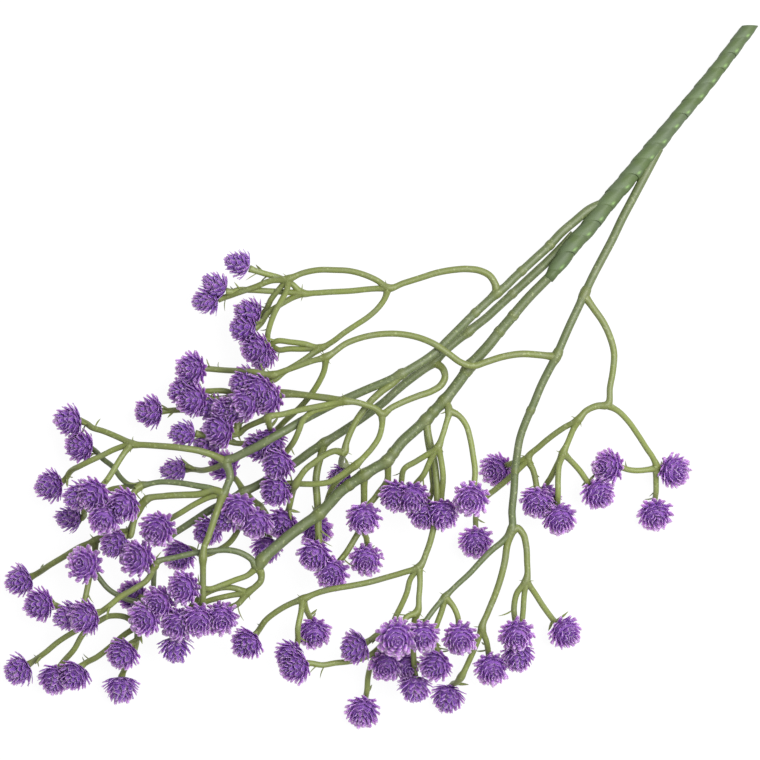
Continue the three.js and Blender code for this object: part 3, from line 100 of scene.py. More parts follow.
# Where the heads are: picture place u, v, height (0 where a head rests on the table), the way
# the head faces in the picture (right, down) and towards the eye, and its size.
HEADS = {
    "a1": (237, 263, 24, -0.9, -0.4, 0.15, 0.8),
    "a2": (214, 285, 24, -0.85, -0.45, 0.15, 0.8),
    "a3": (205, 301, 22, -0.95, 0.15, 0.2, 0.85),
    "a4": (247, 312, 20, -0.85, -0.25, 0.45, 0.9),
    "a5": (242, 329, 22, -0.9, 0.05, 0.4, 0.95),
    "a6": (254, 350, 24, -0.7, 0.2, 0.68, 1),
    "a7": (262, 358, 21, -0.4, 0.7, 0.5, 0.85),
    "a8": (257, 391, 30, -0.5, 0.5, 0.7, 1),
    "k1": (189, 369, 22, -0.7, 0.05, 0.71, 1),
    "k2": (243, 382, 26, -0.7, 0.1, 0.5, 0.95),
    "l1": (181, 392, 20, -0.8, 0, 0.6, 0.95),
    "l2": (190, 400, 24, -0.75, 0.05, 0.66, 1),
    "l3": (148, 412, 16, -0.9, 0.05, 0.43, 1),
    "e1": (266, 399, 28, -0.6, 0.1, 0.8, 1),
    "e2": (245, 403, 30, -0.4, 0.3, 0.86, 1),
    "e3": (236, 409, 26, -0.7, 0.4, 0.5, 0.95),
    "e4": (223, 411, 24, -0.5, -0.3, 0.8, 0.95),
    "e5": (208, 408, 20, -0.7, 0.1, 0.6, 0.85),
    "g1": (217, 430, 26, -0.8, 0, 0.6, 1.05),
    "g3": (206, 442, 18, -0.9, 0.15, 0.4, 0.95),
    "g2": (182, 434, 23, -0.97, 0.03, 0.2, 0.82),
    "g5": (256, 447, 22, -0.85, 0.1, 0.5, 0.95),
    "g6": (270, 445, 25, 0, 0.7, 0.7, 0.95),
    "g7": (277, 466, 28, -0.4, 0.65, 0.64, 1),
    "m4": (274, 492, 27, -0.55, 0.5, 0.66, 1),
    "m3": (281, 526, 12, -0.3, 0.6, 0.74, 1),
    "n0": (222, 464, 12, -0.4, -0.5, 0.6, 0.95),
    "n1": (173, 470, 0, -0.97, 0.05, 0.2, 0.78),
    "q1": (67, 421, 16, -0.9, 0, 0.43, 0.98),
    "q4": (78, 446, 14, -0.75, -0.1, 0.65, 0.98),
    "q2": (48, 486, 12, -0.85, 0.2, 0.48, 1),
    "q3": (91, 496, 30, -0.45, 0.45, 0.77, 1.05),
    "q6": (76, 497, 26, -0.8, 0.3, 0.5, 0.9),
    "q5": (122, 506, 29, -0.5, 0.4, 0.76, 1),
    "q7": (104, 519, 30, -0.1, 0.5, 0.86, 1),
    "q8": (68, 518, 0, -0.96, 0, 0.25, 0.85),
    "x1": (157, 531, 26, -0.2, 0.35, 0.9, 1.05),
    "x2": (114, 545, 26, -0.6, 0.5, 0.5, 0.95),
    "x3": (135, 558, 30, -0.5, -0.05, 0.86, 1.08),
    "r1": (238, 511, 24, -0.1, 0.5, 0.85, 1),
    "r2": (255, 525, 22, -0.2, 0.6, 0.75, 1),
    "r3": (225, 520, 20, -0.5, 0.6, 0.6, 0.9),
    "r4": (206, 533, 20, -0.6, 0.5, 0.6, 0.9),
    "r5": (266, 551, 0, -0.2, 0.8, 0.5, 0.95),
    "x4": (178, 557, 0, -0.5, 0.6, 0.6, 1),
    "x5": (182, 589, 30, -0.45, 0.2, 0.87, 1),
    "x6": (157, 604, 28, -0.3, 0.2, 0.93, 1),
    "x7": (143, 620, 30, -0.4, 0.2, 0.89, 1.02),
    "y1": (177, 626, 28, -0.2, 0.4, 0.89, 1),
    "y2": (198, 622, 30, 0.05, 0.4, 0.91, 1),
    "y3": (221, 620, 28, 0.1, 0.35, 0.93, 1),
    "y4": (175, 650, 22, 0, 0.97, 0.22, 1),
    "y5": (245, 645, 20, -0.6, 0.55, 0.58, 1),
    "z1": (18, 581, 10, -0.85, 0.25, 0.45, 1),
    "z2": (37, 605, 16, -0.75, 0.1, 0.65, 1),
    "z3": (83, 564, 26, -0.25, -0.15, 0.95, 1.08),
    "z4": (83, 618, 24, -0.75, 0.15, 0.64, 1.05),
    "z5": (66, 617, 18, -0.85, 0.3, 0.4, 0.9),
    "z6": (130, 594, 10, -0.6, -0.3, 0.74, 0.95),
    "z7": (17, 671, 0, -0.8, 0.45, 0.4, 1),
    "z8": (54, 681, 12, -0.2, 0.75, 0.6, 1),
    "z9": (73, 677, 15, -0.45, 0.65, 0.6, 1),
    "w1": (121, 656, 20, -0.5, 0.6, 0.62, 1),
    "w2": (121, 690, 0, 0, 0.92, 0.38, 1.05),
    "m2": (338, 479, 0, -0.7, 0.6, 0.3, 0.75),
    "m1": (317, 533, 8, 0.1, 0.5, 0.86, 0.95),
    "m5": (313, 557, 24, -0.35, 0.6, 0.72, 1),
    "m6": (331, 575, 22, -0.2, 0.4, 0.9, 1),
    "p1": (364, 520, 28, 0.05, 0.5, 0.86, 1),
    "p2": (366, 561, 15, -0.05, 0.3, 0.95, 1),
    "c1": (395, 498, 25, -0.3, 0.55, 0.78, 1),
    "c2": (412, 499, 27, 0, 0.55, 0.83, 1),
    "c3": (424, 516, 25, -0.2, 0.6, 0.77, 1),
    "c4": (443, 516, 28, 0.1, 0.7, 0.7, 1),
    "c5": (471, 500, 30, -0.15, 0.3, 0.94, 1.05),
    "c6": (476, 544, 10, 0, 0.5, 0.86, 1),
    "c7": (293, 667, 22, -0.75, 0.2, 0.63, 1.02),
    "c8": (288, 657, 18, -0.5, 0.5, 0.6, 0.9),
    "c9": (314, 635, 14, 0.1, 0.6, 0.79, 1),
    "s1": (353, 648, 26, -0.85, 0.3, 0.43, 1),
    "s2": (362, 714, 8, -0.15, 0.6, 0.75, 1.02),
    "s3": (397, 639, 32, 0.05, 0.2, 0.98, 1.15),
    "s4": (423, 638, 28, 0.1, 0.5, 0.84, 0.95),
    "s5": (386, 667, 24, 0, 0.3, 0.95, 0.95),
    "s6": (406, 667, 20, 0.3, 0.3, 0.9, 0.85),
    "s7": (434, 667, 26, -0.5, 0.5, 0.7, 1),
    "s8": (415, 690, 22, 0, 0.9, 0.43, 1),
    "s9": (447, 700, 0, -0.25, 0.85, 0.45, 1),
    "t1": (461, 640, 28, 0.1, 0.4, 0.9, 1),
    "t2": (492, 671, 20, 0.1, 0.5, 0.86, 1),
    "t3": (518, 659, 20, 0, 0.8, 0.58, 0.95),
    "t4": (517, 637, 24, 0, 0.4, 0.92, 1.02),
    "t5": (567, 634, 12, 0.5, 0.45, 0.74, 1),
    "d1": (495, 471, 9, -0.5, 0.2, 0.84, 1),
    "d2": (537, 504, 22, -0.1, 0.6, 0.79, 1),
    "d3": (547, 500, 19, 0.2, 0.5, 0.8, 0.85),
    "d4": (560, 521, 23, 0.1, 0.6, 0.8, 1),
    "d5": (606, 467, 16, -0.65, 0.05, 0.75, 1),
    "d6": (600, 495, 17, 0.4, 0.5, 0.77, 1),
    "d7": (676, 471, 11, 0.5, 0.1, 0.75, 1),
    "d8": (656, 517, 9, 0.05, 0.5, 0.86, 1.02),
}

# Heads that touch each other are one piece, in these groups. Each other head is its own.
GROUPS = [
    ("a2", "a3"),
    ("a4", "a5", "a6", "a7"),
    ("a8", "k2", "e1", "e2", "e3", "e4", "e5", "g1", "g3", "k1", "l1", "l2"),
    ("g5", "g6", "g7", "m4"),
    ("q1", "q4"),
    ("q3", "q5", "q6", "q7"),
    ("x2", "x3"),
    ("r1", "r2", "r3", "r4"),
    ("x5", "x6", "x7", "y1", "y2", "y3", "y4"),
    ("z4", "z5"),
    ("z8", "z9"),
    ("m5", "m6"),
    ("c1", "c2", "c3", "c4"),
    ("c7", "c8"),
    ("s3", "s4"),
    ("s5", "s6", "s8"),
    ("t2", "t3", "t4"),
    ("d2", "d3", "d4"),
    ("d5", "d6"),
]

# Where stems fork or carry a node: picture place and height.
JOINTS = {
    "cut": (750, 26, 2.8),
    "mainMid": (645, 158, 15),
    "bundle": (571, 247, 24),
    "wrapEnd": (546, 282, 25),
    "aRoot": (603, 203, 20),
    "aNode1": (497, 293, 27),
    "aNode2": (400, 375, 30),
    "aNode3": (226, 462, 26),
    "aNode4": (223, 494, 30),
    "archFork": (388, 288, 28),
    "forkP": (288, 279, 27),
    "forkQ": (302, 293, 22),
    "forkR": (320, 348, 22),
    "hang": (344, 452, 30),
    "hangLeft": (296, 484, 30),
    "hangRight": (356, 465, 30),
    "forkW": (132, 444, 22),
    "forkY": (142, 485, 24),
    "forkY2": (146, 500, 26),
    "forkZ": (95, 541, 19),
    "stemX": (203, 558, 32),
    "bRoot": (574, 234, 22.5),
    "bNode1": (468, 332, 20),
    "bNode2": (434, 362, 20),
    "bNode3": (324, 443, 18),
    "bNode4": (244, 492, 16),
    "bNode5": (224, 503, 16),
    "bEnd": (167, 538, 16),
    "forkV": (382, 414, 34),
    "forkU": (345, 401, 36),
    "forkE": (238, 395, 18),
    "forkG": (237, 433, 20),
    "forkU2": (268, 418, 32),
    "forkM": (260, 507, 12),
    "cRoot": (550, 276, 24.9),
    "cNode1": (470, 366, 24),
    "cNode2": (444, 401, 24),
    "cNode3": (426, 420, 24),
    "cNode4": (387, 461, 25),
    "cNode5": (364, 475, 25),
    "cNode6": (319, 514, 24),
    "cNode7": (262, 560, 26),
    "cNode8": (257, 567, 26),
    "forkC1": (449, 411, 26),
    "forkC2": (438, 447, 30),
    "forkC3": (419, 567, 26),
    "forkC4": (303, 599, 22),
    "forkC5": (391, 627, 22),
    "forkC6": (417, 612, 26),
    "forkC7": (386, 485, 22),
    "forkC8": (361, 527, 16),
    "forkC9": (247, 593, 24),
    "forkX": (156, 563, 30),
    "forkX2": (148, 604, 15),
    "forkX3": (138, 626, 18),
    "forkX4": (93, 622, 14),
    "dRoot": (659, 148.5, 14.1),
    "dNode1": (584, 295, 24),
    "dNode2": (556, 357, 26),
    "dNode3": (511, 532, 22),
    "forkS": (326, 357, 32),
    "forkS2": (272, 375, 30),
    "forkS3": (262, 440, 14),
    "forkD1": (607, 405, 26),
    "forkD2": (578, 420, 26),
    "forkD3": (528, 459, 16),
    "forkD4": (563, 453, 24),
    "forkD5": (656, 467, 11),
    "forkD6": (445, 597, 24),
    "forkD7": (482, 629, 22),
    "forkD8": (526, 581, 22),
    "forkD9": (461, 677, 16),
}

# The stems. Each runs from a joint, by way of picture places, to a joint or a head.
# Branch, kind, from, places on the way, to.
RUNS = [
    ("A", "branch", "aRoot", (
        (590, 209), (575, 221), (561, 233), (549, 246), (537, 257), (525, 268), (513, 279), (505, 287),
    ), "aNode1"),
    ("A", "branch", "aNode1", (
        (486, 303), (472, 316), (458, 330), (447, 341), (437, 351), (425, 360), (412, 368),
    ), "aNode2"),
    ("A", "branch", "aNode2", (
        (385, 382), (368, 389), (352, 396), (336, 403), (320, 411), (303, 420), (288, 429), (272, 438),
        (258, 446), (246, 452), (236, 457),
    ), "aNode3"),
    ("A", "branch", "aNode3", ((229, 470), (230, 478), (227, 486)), "aNode4"),
    ("A", "sprig", "aNode1", (
        (495, 284), (490, 276), (481, 271), (468, 269), (452, 270), (436, 273), (420, 278), (404, 283),
    ), "archFork"),
    ("A", "twig", "archFork", (
        (378, 281), (365, 275), (350, 271), (334, 270), (318, 270), (303, 273),
    ), "forkP"),
    ("A", "twig", "archFork", ((370, 289), (350, 291), (330, 292), (315, 293)), "forkQ"),
    ("A", "twig", "archFork", (
        (385, 298), (378, 308), (368, 317), (356, 325), (344, 333), (332, 342),
    ), "forkR"),
    ("A", "twig", "forkP", ((270, 281), (255, 287), (240, 292)), "a3"),
    ("A", "twig", "forkP", ((280, 288), (272, 298)), "a4"),
    ("A", "twig", "forkP", ((287, 289), (281, 301), (275, 312), (271, 322), (268, 333)), "a6"),
    ("A", "twig", "forkQ", ((292, 284), (280, 278), (266, 274)), "a1"),
    ("A", "twig", "forkQ", ((285, 292), (268, 291), (250, 290), (238, 290)), "a2"),
    ("A", "twig", "forkQ", ((290, 299), (278, 306), (268, 313)), "a5"),
    ("A", "twig", "forkR", ((305, 344), (290, 342), (277, 341)), "a6"),
    ("A", "twig", "forkR", ((303, 349), (288, 349), (279, 350)), "a7"),
    ("A", "twig", "forkR", ((308, 357), (296, 365), (284, 372), (274, 380)), "a8"),
    ("A", "sprig", "aNode2", (
        (393, 383), (382, 391), (372, 400), (363, 411), (356, 421), (350, 433), (346, 444),
    ), "hang"),
    ("A", "twig", "hang", ((335, 451), (325, 455), (315, 462), (306, 469), (300, 477)), "hangLeft"),
    ("A", "twig", "hang", ((341, 464),), "m2"),
    ("A", "twig", "hangLeft", ((292, 495), (290, 504)), "m3"),
    ("A", "sprig", "aNode3", ((215, 456), (200, 451), (182, 448), (160, 446), (145, 445)), "forkW"),
    ("A", "twig", "aNode3", ((219, 466), (205, 470)), "n1"),
    ("A", "twig", "forkW", ((124, 440), (113, 435), (103, 431), (93, 428)), "q1"),
    ("A", "twig", "forkW", ((124, 446), (113, 450), (103, 455), (92, 460), (80, 466), (70, 472)), "q2"),
    ("A", "twig", "forkW", ((125, 452), (119, 461), (113, 471), (107, 480)), "q3"),
    ("A", "sprig", "aNode4", ((213, 489), (198, 486), (180, 483), (160, 482)), "forkY"),
    ("A", "twig", "forkY", ((128, 484), (121, 478), (113, 467), (103, 459)), "q4"),
    ("A", "twig", "forkY", ((135, 490),), "q5"),
    ("A", "twig", "forkY", ((132, 494),), "q7"),
    ("A", "twig", "forkY", ((125, 487), (110, 490), (92, 505), (84, 512)), "q8"),
    ("A", "sprig", "aNode4", ((214, 490), (200, 494), (182, 495), (165, 496)), "forkY2"),
    ("A", "twig", "forkY2", ((140, 510), (134, 520), (129, 530), (117, 532), (105, 535)), "forkZ"),
    ("A", "twig", "forkY2", ((139, 506), (134, 522), (130, 536)), "x2"),
    ("A", "twig", "forkZ", ((80, 547), (65, 556), (50, 565)), "z1"),
    ("A", "twig", "forkZ", ((95, 553), (91, 570), (88, 585)), "z5"),
    ("A", "twig", "aNode4", ((210, 497), (195, 504), (182, 512)), "x1"),
    ("A", "sprig", "aNode4", ((218, 508), (213, 523), (208, 538), (204, 548)), "stemX"),
    ("A", "twig", "stemX", ((203, 570), (203, 585), (203, 598)), "y2"),
    ("B", "branch", "bRoot", (
        (561, 248), (548, 261), (535, 273), (522, 285), (510, 296), (498, 307), (486, 318), (477, 325),
    ), "bNode1"),
    ("B", "branch", "bNode1", ((458, 340), (446, 350)), "bNode2"),
    ("B", "branch", "bNode2", (
        (420, 372), (408, 381), (396, 391), (384, 402), (372, 411), (358, 421), (343, 431),
    ), "bNode3"),
    ("B", "branch", "bNode3", ((310, 452), (298, 461), (284, 470), (270, 478), (256, 486)), "bNode4"),
    ("B", "branch", "bNode4", (), "bNode5"),
    ("B", "branch", "bNode5", ((209, 511), (195, 520)), "bEnd"),
    ("B", "sprig", "bNode2", (
        (443, 369), (445, 377), (441, 385), (432, 391), (418, 396), (403, 402), (391, 408),
    ), "forkV"),
    ("B", "twig", "forkV", ((376, 409), (366, 405), (355, 402)), "forkU"),
    ("B", "twig", "forkV", ((382, 425), (379, 437), (372, 448), (364, 457)), "hangRight"),
    ("B", "twig", "hangRight", ((347, 473), (338, 480), (331, 490), (326, 504)), "m1"),
    ("B", "twig", "hangRight", ((348, 470), (340, 476), (329, 482), (316, 484), (303, 484)), "m4"),
    ("B", "twig", "forkU", ((330, 399), (315, 397), (300, 395), (285, 395), (275, 396)), "e1"),
    ("B", "twig", "forkU", (
        (331, 398), (315, 396), (300, 394), (283, 392), (262, 393), (250, 394),
    ), "forkE"),
    ("B", "twig", "forkU", ((330, 404), (315, 407), (300, 410), (284, 414)), "forkU2"),
    ("B", "twig", "forkU", ((325, 408), (312, 412), (303, 420), (299, 430), (294, 441)), "g7"),
    ("B", "twig", "forkE", ((225, 391), (212, 391)), "l1"),
    ("B", "twig", "forkE", ((224, 398), (213, 399)), "l2"),
    ("B", "twig", "forkE", ((226, 402), (213, 407), (197, 410), (178, 410)), "l3"),
    ("B", "twig", "forkE", ((241, 397),), "e2"),
    ("B", "twig", "forkU2", ((269, 424),), "g6"),
    ("B", "twig", "forkU2", ((258, 422), (247, 427)), "forkG"),
    ("B", "twig", "forkG", (), "g1"),
    ("B", "twig", "forkG", ((226, 437), (212, 438)), "g2"),
    ("B", "twig", "forkG", ((237, 424),), "e4"),
    ("B", "twig", "forkG", ((240, 421),), "e3"),
    ("B", "sprig", "bNode3", (
        (321, 455), (318, 466), (316, 480), (317, 497), (318, 512), (318, 525),
    ), "m5"),
    ("B", "twig", "bNode4", ((252, 499),), "forkM"),
    ("B", "twig", "forkM", (), "r2"),
    ("B", "twig", "forkM", ((266, 514), (268, 527)), "r5"),
    ("B", "twig", "bNode4", ((243, 500),), "r1"),
    ("B", "twig", "bNode4", ((238, 482),), "n0"),
    ("B", "twig", "bNode4", ((242, 508), (239, 527), (230, 542), (216, 551), (202, 555)), "x4"),
    ("B", "twig", "bNode5", (), "r3"),
    ("B", "twig", "bNode5", ((214, 517),), "r4"),
    ("C", "branch", "cRoot", (
        (540, 286), (532, 294), (522, 305), (512, 317), (500, 331), (488, 346), (478, 357),
    ), "cNode1"),
    ("C", "branch", "cNode1", ((461, 379), (452, 391)), "cNode2"),
    ("C", "branch", "cNode2", ((436, 409),), "cNode3"),
    ("C", "branch", "cNode3", ((414, 431), (402, 442), (394, 452)), "cNode4"),
    ("C", "branch", "cNode4", ((375, 468),), "cNode5"),
    ("C", "branch", "cNode5", ((352, 483), (340, 492), (330, 503)), "cNode6"),
    ("C", "branch", "cNode6", ((305, 524), (290, 535), (276, 547)), "cNode7"),
    ("C", "branch", "cNode7", (), "cNode8"),
    ("C", "twig", "cNode2", ((448, 406),), "forkC1"),
    ("C", "twig", "forkC1", ((446, 424), (442, 437)), "forkC2"),
    ("C", "twig", "forkC1", ((458, 415), (466, 425), (470, 438), (473, 455), (475, 471)), "c5"),
    ("C", "twig", "forkC2", ((428, 454), (415, 462), (405, 468)), "c1"),
    ("C", "twig", "forkC2", ((430, 461), (424, 474)), "c2"),
    ("C", "twig", "forkC2", ((441, 460), (443, 476)), "c4"),
    ("C", "sprig", "cNode3", (
        (428, 433), (431, 447), (434, 460), (436, 475), (437, 490), (437, 505), (435, 520), (432, 535),
        (427, 551),
    ), "forkC3"),
    ("C", "twig", "cNode3", ((427, 437), (430, 455), (432, 475), (433, 488)), "c3"),
    ("C", "twig", "forkC3", (
        (405, 572), (388, 577), (370, 582), (350, 586), (332, 589), (317, 593),
    ), "forkC4"),
    ("C", "twig", "forkC3", ((410, 580), (407, 592), (402, 604), (396, 616)), "forkC5"),
    ("C", "twig", "forkC3", ((420, 580), (419, 596)), "forkC6"),
    ("C", "twig", "forkC4", ((290, 604), (276, 612), (266, 620)), "y5"),
    ("C", "twig", "forkC4", ((301, 612), (298, 627)), "c8"),
    ("C", "twig", "forkC4", ((306, 609),), "c9"),
    ("C", "twig", "forkC5", ((378, 634),), "s1"),
    ("C", "twig", "forkC5", ((382, 645), (373, 660), (368, 677), (367, 690)), "s2"),
    ("C", "twig", "forkC5", ((383, 643), (370, 655), (352, 661), (335, 663), (322, 665)), "c7"),
    ("C", "twig", "forkC5", ((390, 640),), "s5"),
    ("C", "twig", "forkC6", ((407, 617),), "s3"),
    ("C", "twig", "forkC6", ((413, 628), (413, 645), (414, 662)), "s8"),
    ("C", "sprig", "cNode4", ((388, 472),), "forkC7"),
    ("C", "twig", "forkC7", ((380, 491), (374, 499)), "p1"),
    ("C", "sprig", "cNode5", ((364, 487), (364, 500), (363, 514)), "forkC8"),
    ("C", "twig", "forkC8", ((354, 540), (346, 553)), "m6"),
    ("C", "twig", "forkC8", ((366, 537),), "p2"),
    ("C", "sprig", "cNode8", (
        (252, 560), (241, 553), (227, 550), (212, 551), (195, 553), (177, 557),
    ), "forkX"),
    ("C", "twig", "cNode8", ((248, 575), (235, 580), (222, 585), (210, 589)), "x5"),
    ("C", "sprig", "cNode8", ((261, 573), (261, 580), (255, 587)), "forkC9"),
    ("C", "twig", "forkC9", ((239, 603),), "y3"),
    ("C", "twig", "forkC9", ((233, 595), (219, 598), (208, 601)), "y1"),
    ("C", "twig", "forkC9", ((234, 588), (220, 588), (205, 594), (190, 608), (181, 626)), "y4"),
    ("C", "twig", "forkX", ((154, 575), (153, 590)), "forkX2"),
    ("C", "twig", "forkX", ((147, 580), (134, 589), (120, 597), (109, 606)), "z4"),
    ("C", "twig", "forkX", ((155, 567),), "x3"),
    ("C", "twig", "forkX2", ((138, 602), (124, 598), (111, 591)), "z3"),
    ("C", "twig", "forkX2", ((155, 606),), "x6"),
    ("C", "twig", "forkX2", ((142, 598),), "z6"),
    ("C", "twig", "forkX2", ((147, 614),), "forkX3"),
    ("C", "twig", "forkX3", ((141, 622),), "x7"),
    ("C", "twig", "forkX3", ((124, 635), (110, 647), (97, 657)), "z9"),
    ("C", "twig", "forkX3", ((138, 638),), "w1"),
    ("C", "twig", "forkX3", ((136, 645), (130, 662)), "w2"),
    ("C", "twig", "forkX3", ((125, 617), (110, 616)), "forkX4"),
    ("C", "twig", "forkX4", ((84, 616), (68, 612)), "z2"),
    ("C", "twig", "forkX4", ((72, 633), (58, 642), (46, 652)), "z7"),
    ("C", "twig", "forkX4", ((81, 637), (75, 648)), "z8"),
    ("D", "branch", "dRoot", (
        (641, 183), (632, 200), (622, 219), (612, 240), (603, 257), (594, 274),
    ), "dNode1"),
    ("D", "branch", "dNode1", ((577, 310), (569, 327), (562, 343)), "dNode2"),
    ("D", "branch", "dNode2", (
        (549, 370), (541, 386), (534, 403), (526, 421), (520, 438), (517, 455), (515, 472), (514, 490),
        (512, 510),
    ), "dNode3"),
    ("D", "sprig", "dNode1", (
        (594, 309), (603, 322), (610, 337), (614, 353), (613, 370), (610, 387),
    ), "forkD1"),
    ("D", "sprig", "forkD1", ((597, 406), (586, 411)), "forkD2"),
    ("D", "twig", "forkD2", ((565, 427), (552, 436), (540, 446)), "forkD3"),
    ("D", "twig", "forkD2", ((573, 430), (568, 442)), "forkD4"),
    ("D", "twig", "forkD1", ((618, 411), (628, 421), (638, 435), (647, 449), (653, 458)), "forkD5"),
    ("D", "twig", "forkD3", ((533, 470),), "d2"),
    ("D", "twig", "forkD3", ((520, 461), (510, 464)), "d1"),
    ("D", "twig", "forkD3", ((520, 468), (508, 479), (496, 489), (485, 498), (477, 511)), "c6"),
    ("D", "twig", "forkD4", ((557, 465), (551, 477)), "d3"),
    ("D", "twig", "forkD4", ((559, 466), (558, 480), (558, 494)), "d4"),
    ("D", "twig", "forkD4", ((571, 461), (580, 471), (587, 481)), "d6"),
    ("D", "twig", "forkD5", ((645, 470), (630, 470)), "d5"),
    ("D", "twig", "forkD5", (), "d7"),
    ("D", "twig", "forkD5", ((656, 480), (656, 492)), "d8"),
    ("D", "sprig", "dNode3", ((503, 541), (492, 550), (481, 561), (470, 573), (457, 585)), "forkD6"),
    ("D", "twig", "forkD6", ((436, 607), (427, 619)), "s4"),
    ("D", "twig", "forkD6", ((442, 610), (437, 624), (433, 638), (438, 650)), "s7"),
    ("D", "twig", "forkD6", ((453, 606), (458, 618)), "t1"),
    ("D", "sprig", "dNode3", ((507, 546), (505, 560), (501, 577), (495, 595), (488, 612)), "forkD7"),
    ("D", "twig", "forkD7", ((486, 640),), "t2"),
    ("D", "twig", "forkD7", ((476, 645), (469, 661)), "forkD9"),
    ("D", "twig", "forkD9", ((457, 682),), "s9"),
    ("D", "sprig", "dNode3", ((517, 528), (523, 534), (526, 545), (527, 560)), "forkD8"),
    ("D", "twig", "forkD8", ((517, 593), (514, 607)), "t4"),
    ("D", "twig", "forkD8", ((524, 597), (523, 612), (521, 628)), "t3"),
    ("D", "twig", "forkD8", ((534, 592), (543, 606), (551, 617)), "t5"),
    ("D", "sprig", "dNode2", (
        (540, 355), (520, 354), (502, 357), (486, 362), (473, 366), (462, 363), (449, 354), (436, 345),
        (420, 338), (400, 334), (382, 334), (364, 337), (347, 343),
    ), "forkS"),
    ("D", "twig", "forkS", ((312, 361), (298, 366), (284, 371)), "forkS2"),
    ("D", "twig", "forkS", (
        (324, 371), (319, 382), (312, 393), (304, 403), (295, 412), (286, 420), (276, 430),
    ), "forkS3"),
    ("D", "twig", "forkS2", ((255, 372), (240, 371), (222, 370)), "k1"),
    ("D", "twig", "forkS2", ((262, 377),), "k2"),
    ("D", "twig", "forkS3", ((250, 443), (235, 443)), "g3"),
    ("D", "twig", "forkS3", ((265, 445),), "g5"),
]

# The main stem, from its cut end to where the tape runs out on the thick branch.
STEM_ROUTE = [
    ("cut", TAPE_RADIUS_TOP),
    ((723, 62), TAPE_RADIUS_TOP),
    ((697, 95), TAPE_RADIUS_MIDDLE),
    ((672, 125), TAPE_RADIUS_MIDDLE),
    ("mainMid", TAPE_RADIUS_BUNDLE),
    ((626, 181), TAPE_RADIUS_BUNDLE),
    ((605, 206), TAPE_RADIUS_BUNDLE),
    ((588, 228), TAPE_RADIUS_BUNDLE),
    ("bundle", TAPE_RADIUS_BUNDLE),
    ((560, 263), TAPE_RADIUS_MIDDLE),
    ((554, 271.5), TAPE_RADIUS_TAPER),
    ("wrapEnd", TAPE_RADIUS_END),
]
CUT_V = 26
FIXED_JOINTS = ("cut", "mainMid", "bundle", "wrapEnd", "aRoot", "bRoot", "cRoot", "dRoot")

# Heights. Where pieces cross or lie side by side, the higher one is lifted and the lower one
# pressed down until they clear each other, and the stems follow in smooth bends.
SWEEPS = 120
# Shares of a push, of the way back and of the smoothing that each sweep gives.
PUSH = 0.6
RETURN = 0.02
SMOOTHING = 0.15
LARGEST_PUSH = 2.5
LEAST_SLOPE = 0.35
SAMPLE_STEP = 1.8
# A twig isn't pushed from its own head over this length.
OWN_HEAD_LENGTH = 10
CLEARANCE = 0.35
# Seen from above, what is further apart than this beyond its own size is never a pair.
HEADS_APART = 1
HEAD_APART_FROM_STEM = 3
STEMS_APART = 1.5
# How readily each kind gives way. What can't move has 0.
STIFFNESS = {"branch": 0.3, "sprig": 0.7, "twig": 1.0, "head": 0.5}
# A head's radius across its axis and along it, and how far its petals press flat on the table.
REACH_SIDE = 7.9
REACH_AXIS = 5.1
PRESS = 0.5
TABLE_GAP = 0.5
# Where a twig ends behind its head's centre, and how far before that it points at the head.
HEAD_BACK = -5.0
HEAD_GAP = 0.3
APPROACH = 2.6


def place(u, v, z):
    """A picture place at a height, in the part's millimetres: the picture's right and up
    distances, shrunk as the height nears the eye, turned by TURN and shifted."""
    u, v, z = (np.asarray(value, float) for value in (u, v, z))
    scale = PIXEL * (1 - z / EYE_HEIGHT)
    right = (u - CENTRE_U) * scale
    up = (CENTRE_V - v) * scale
    x = right * math.cos(TURN) - up * math.sin(TURN) + SHIFT_X
    y = right * math.sin(TURN) + up * math.cos(TURN) + SHIFT_Y
    return np.stack(np.broadcast_arrays(x, y, z), axis=-1)


def facing(right, down, to_eye):
    """A direction in the picture as a unit vector of the part, by the same turn."""
    direction = np.array([
        right * math.cos(TURN) + down * math.sin(TURN),
        right * math.sin(TURN) - down * math.cos(TURN),
        to_eye,
    ])
    return direction / np.linalg.norm(direction)


def head_reach(size, axis, direction):
    """How far a head reaches along a direction: the radius of a flattened ball."""
    along = np.sum(direction * axis, axis=-1)
    across = np.sqrt(np.maximum(0, 1 - along**2))
    return 1 / np.hypot(across / (REACH_SIDE * size), along / REACH_AXIS)


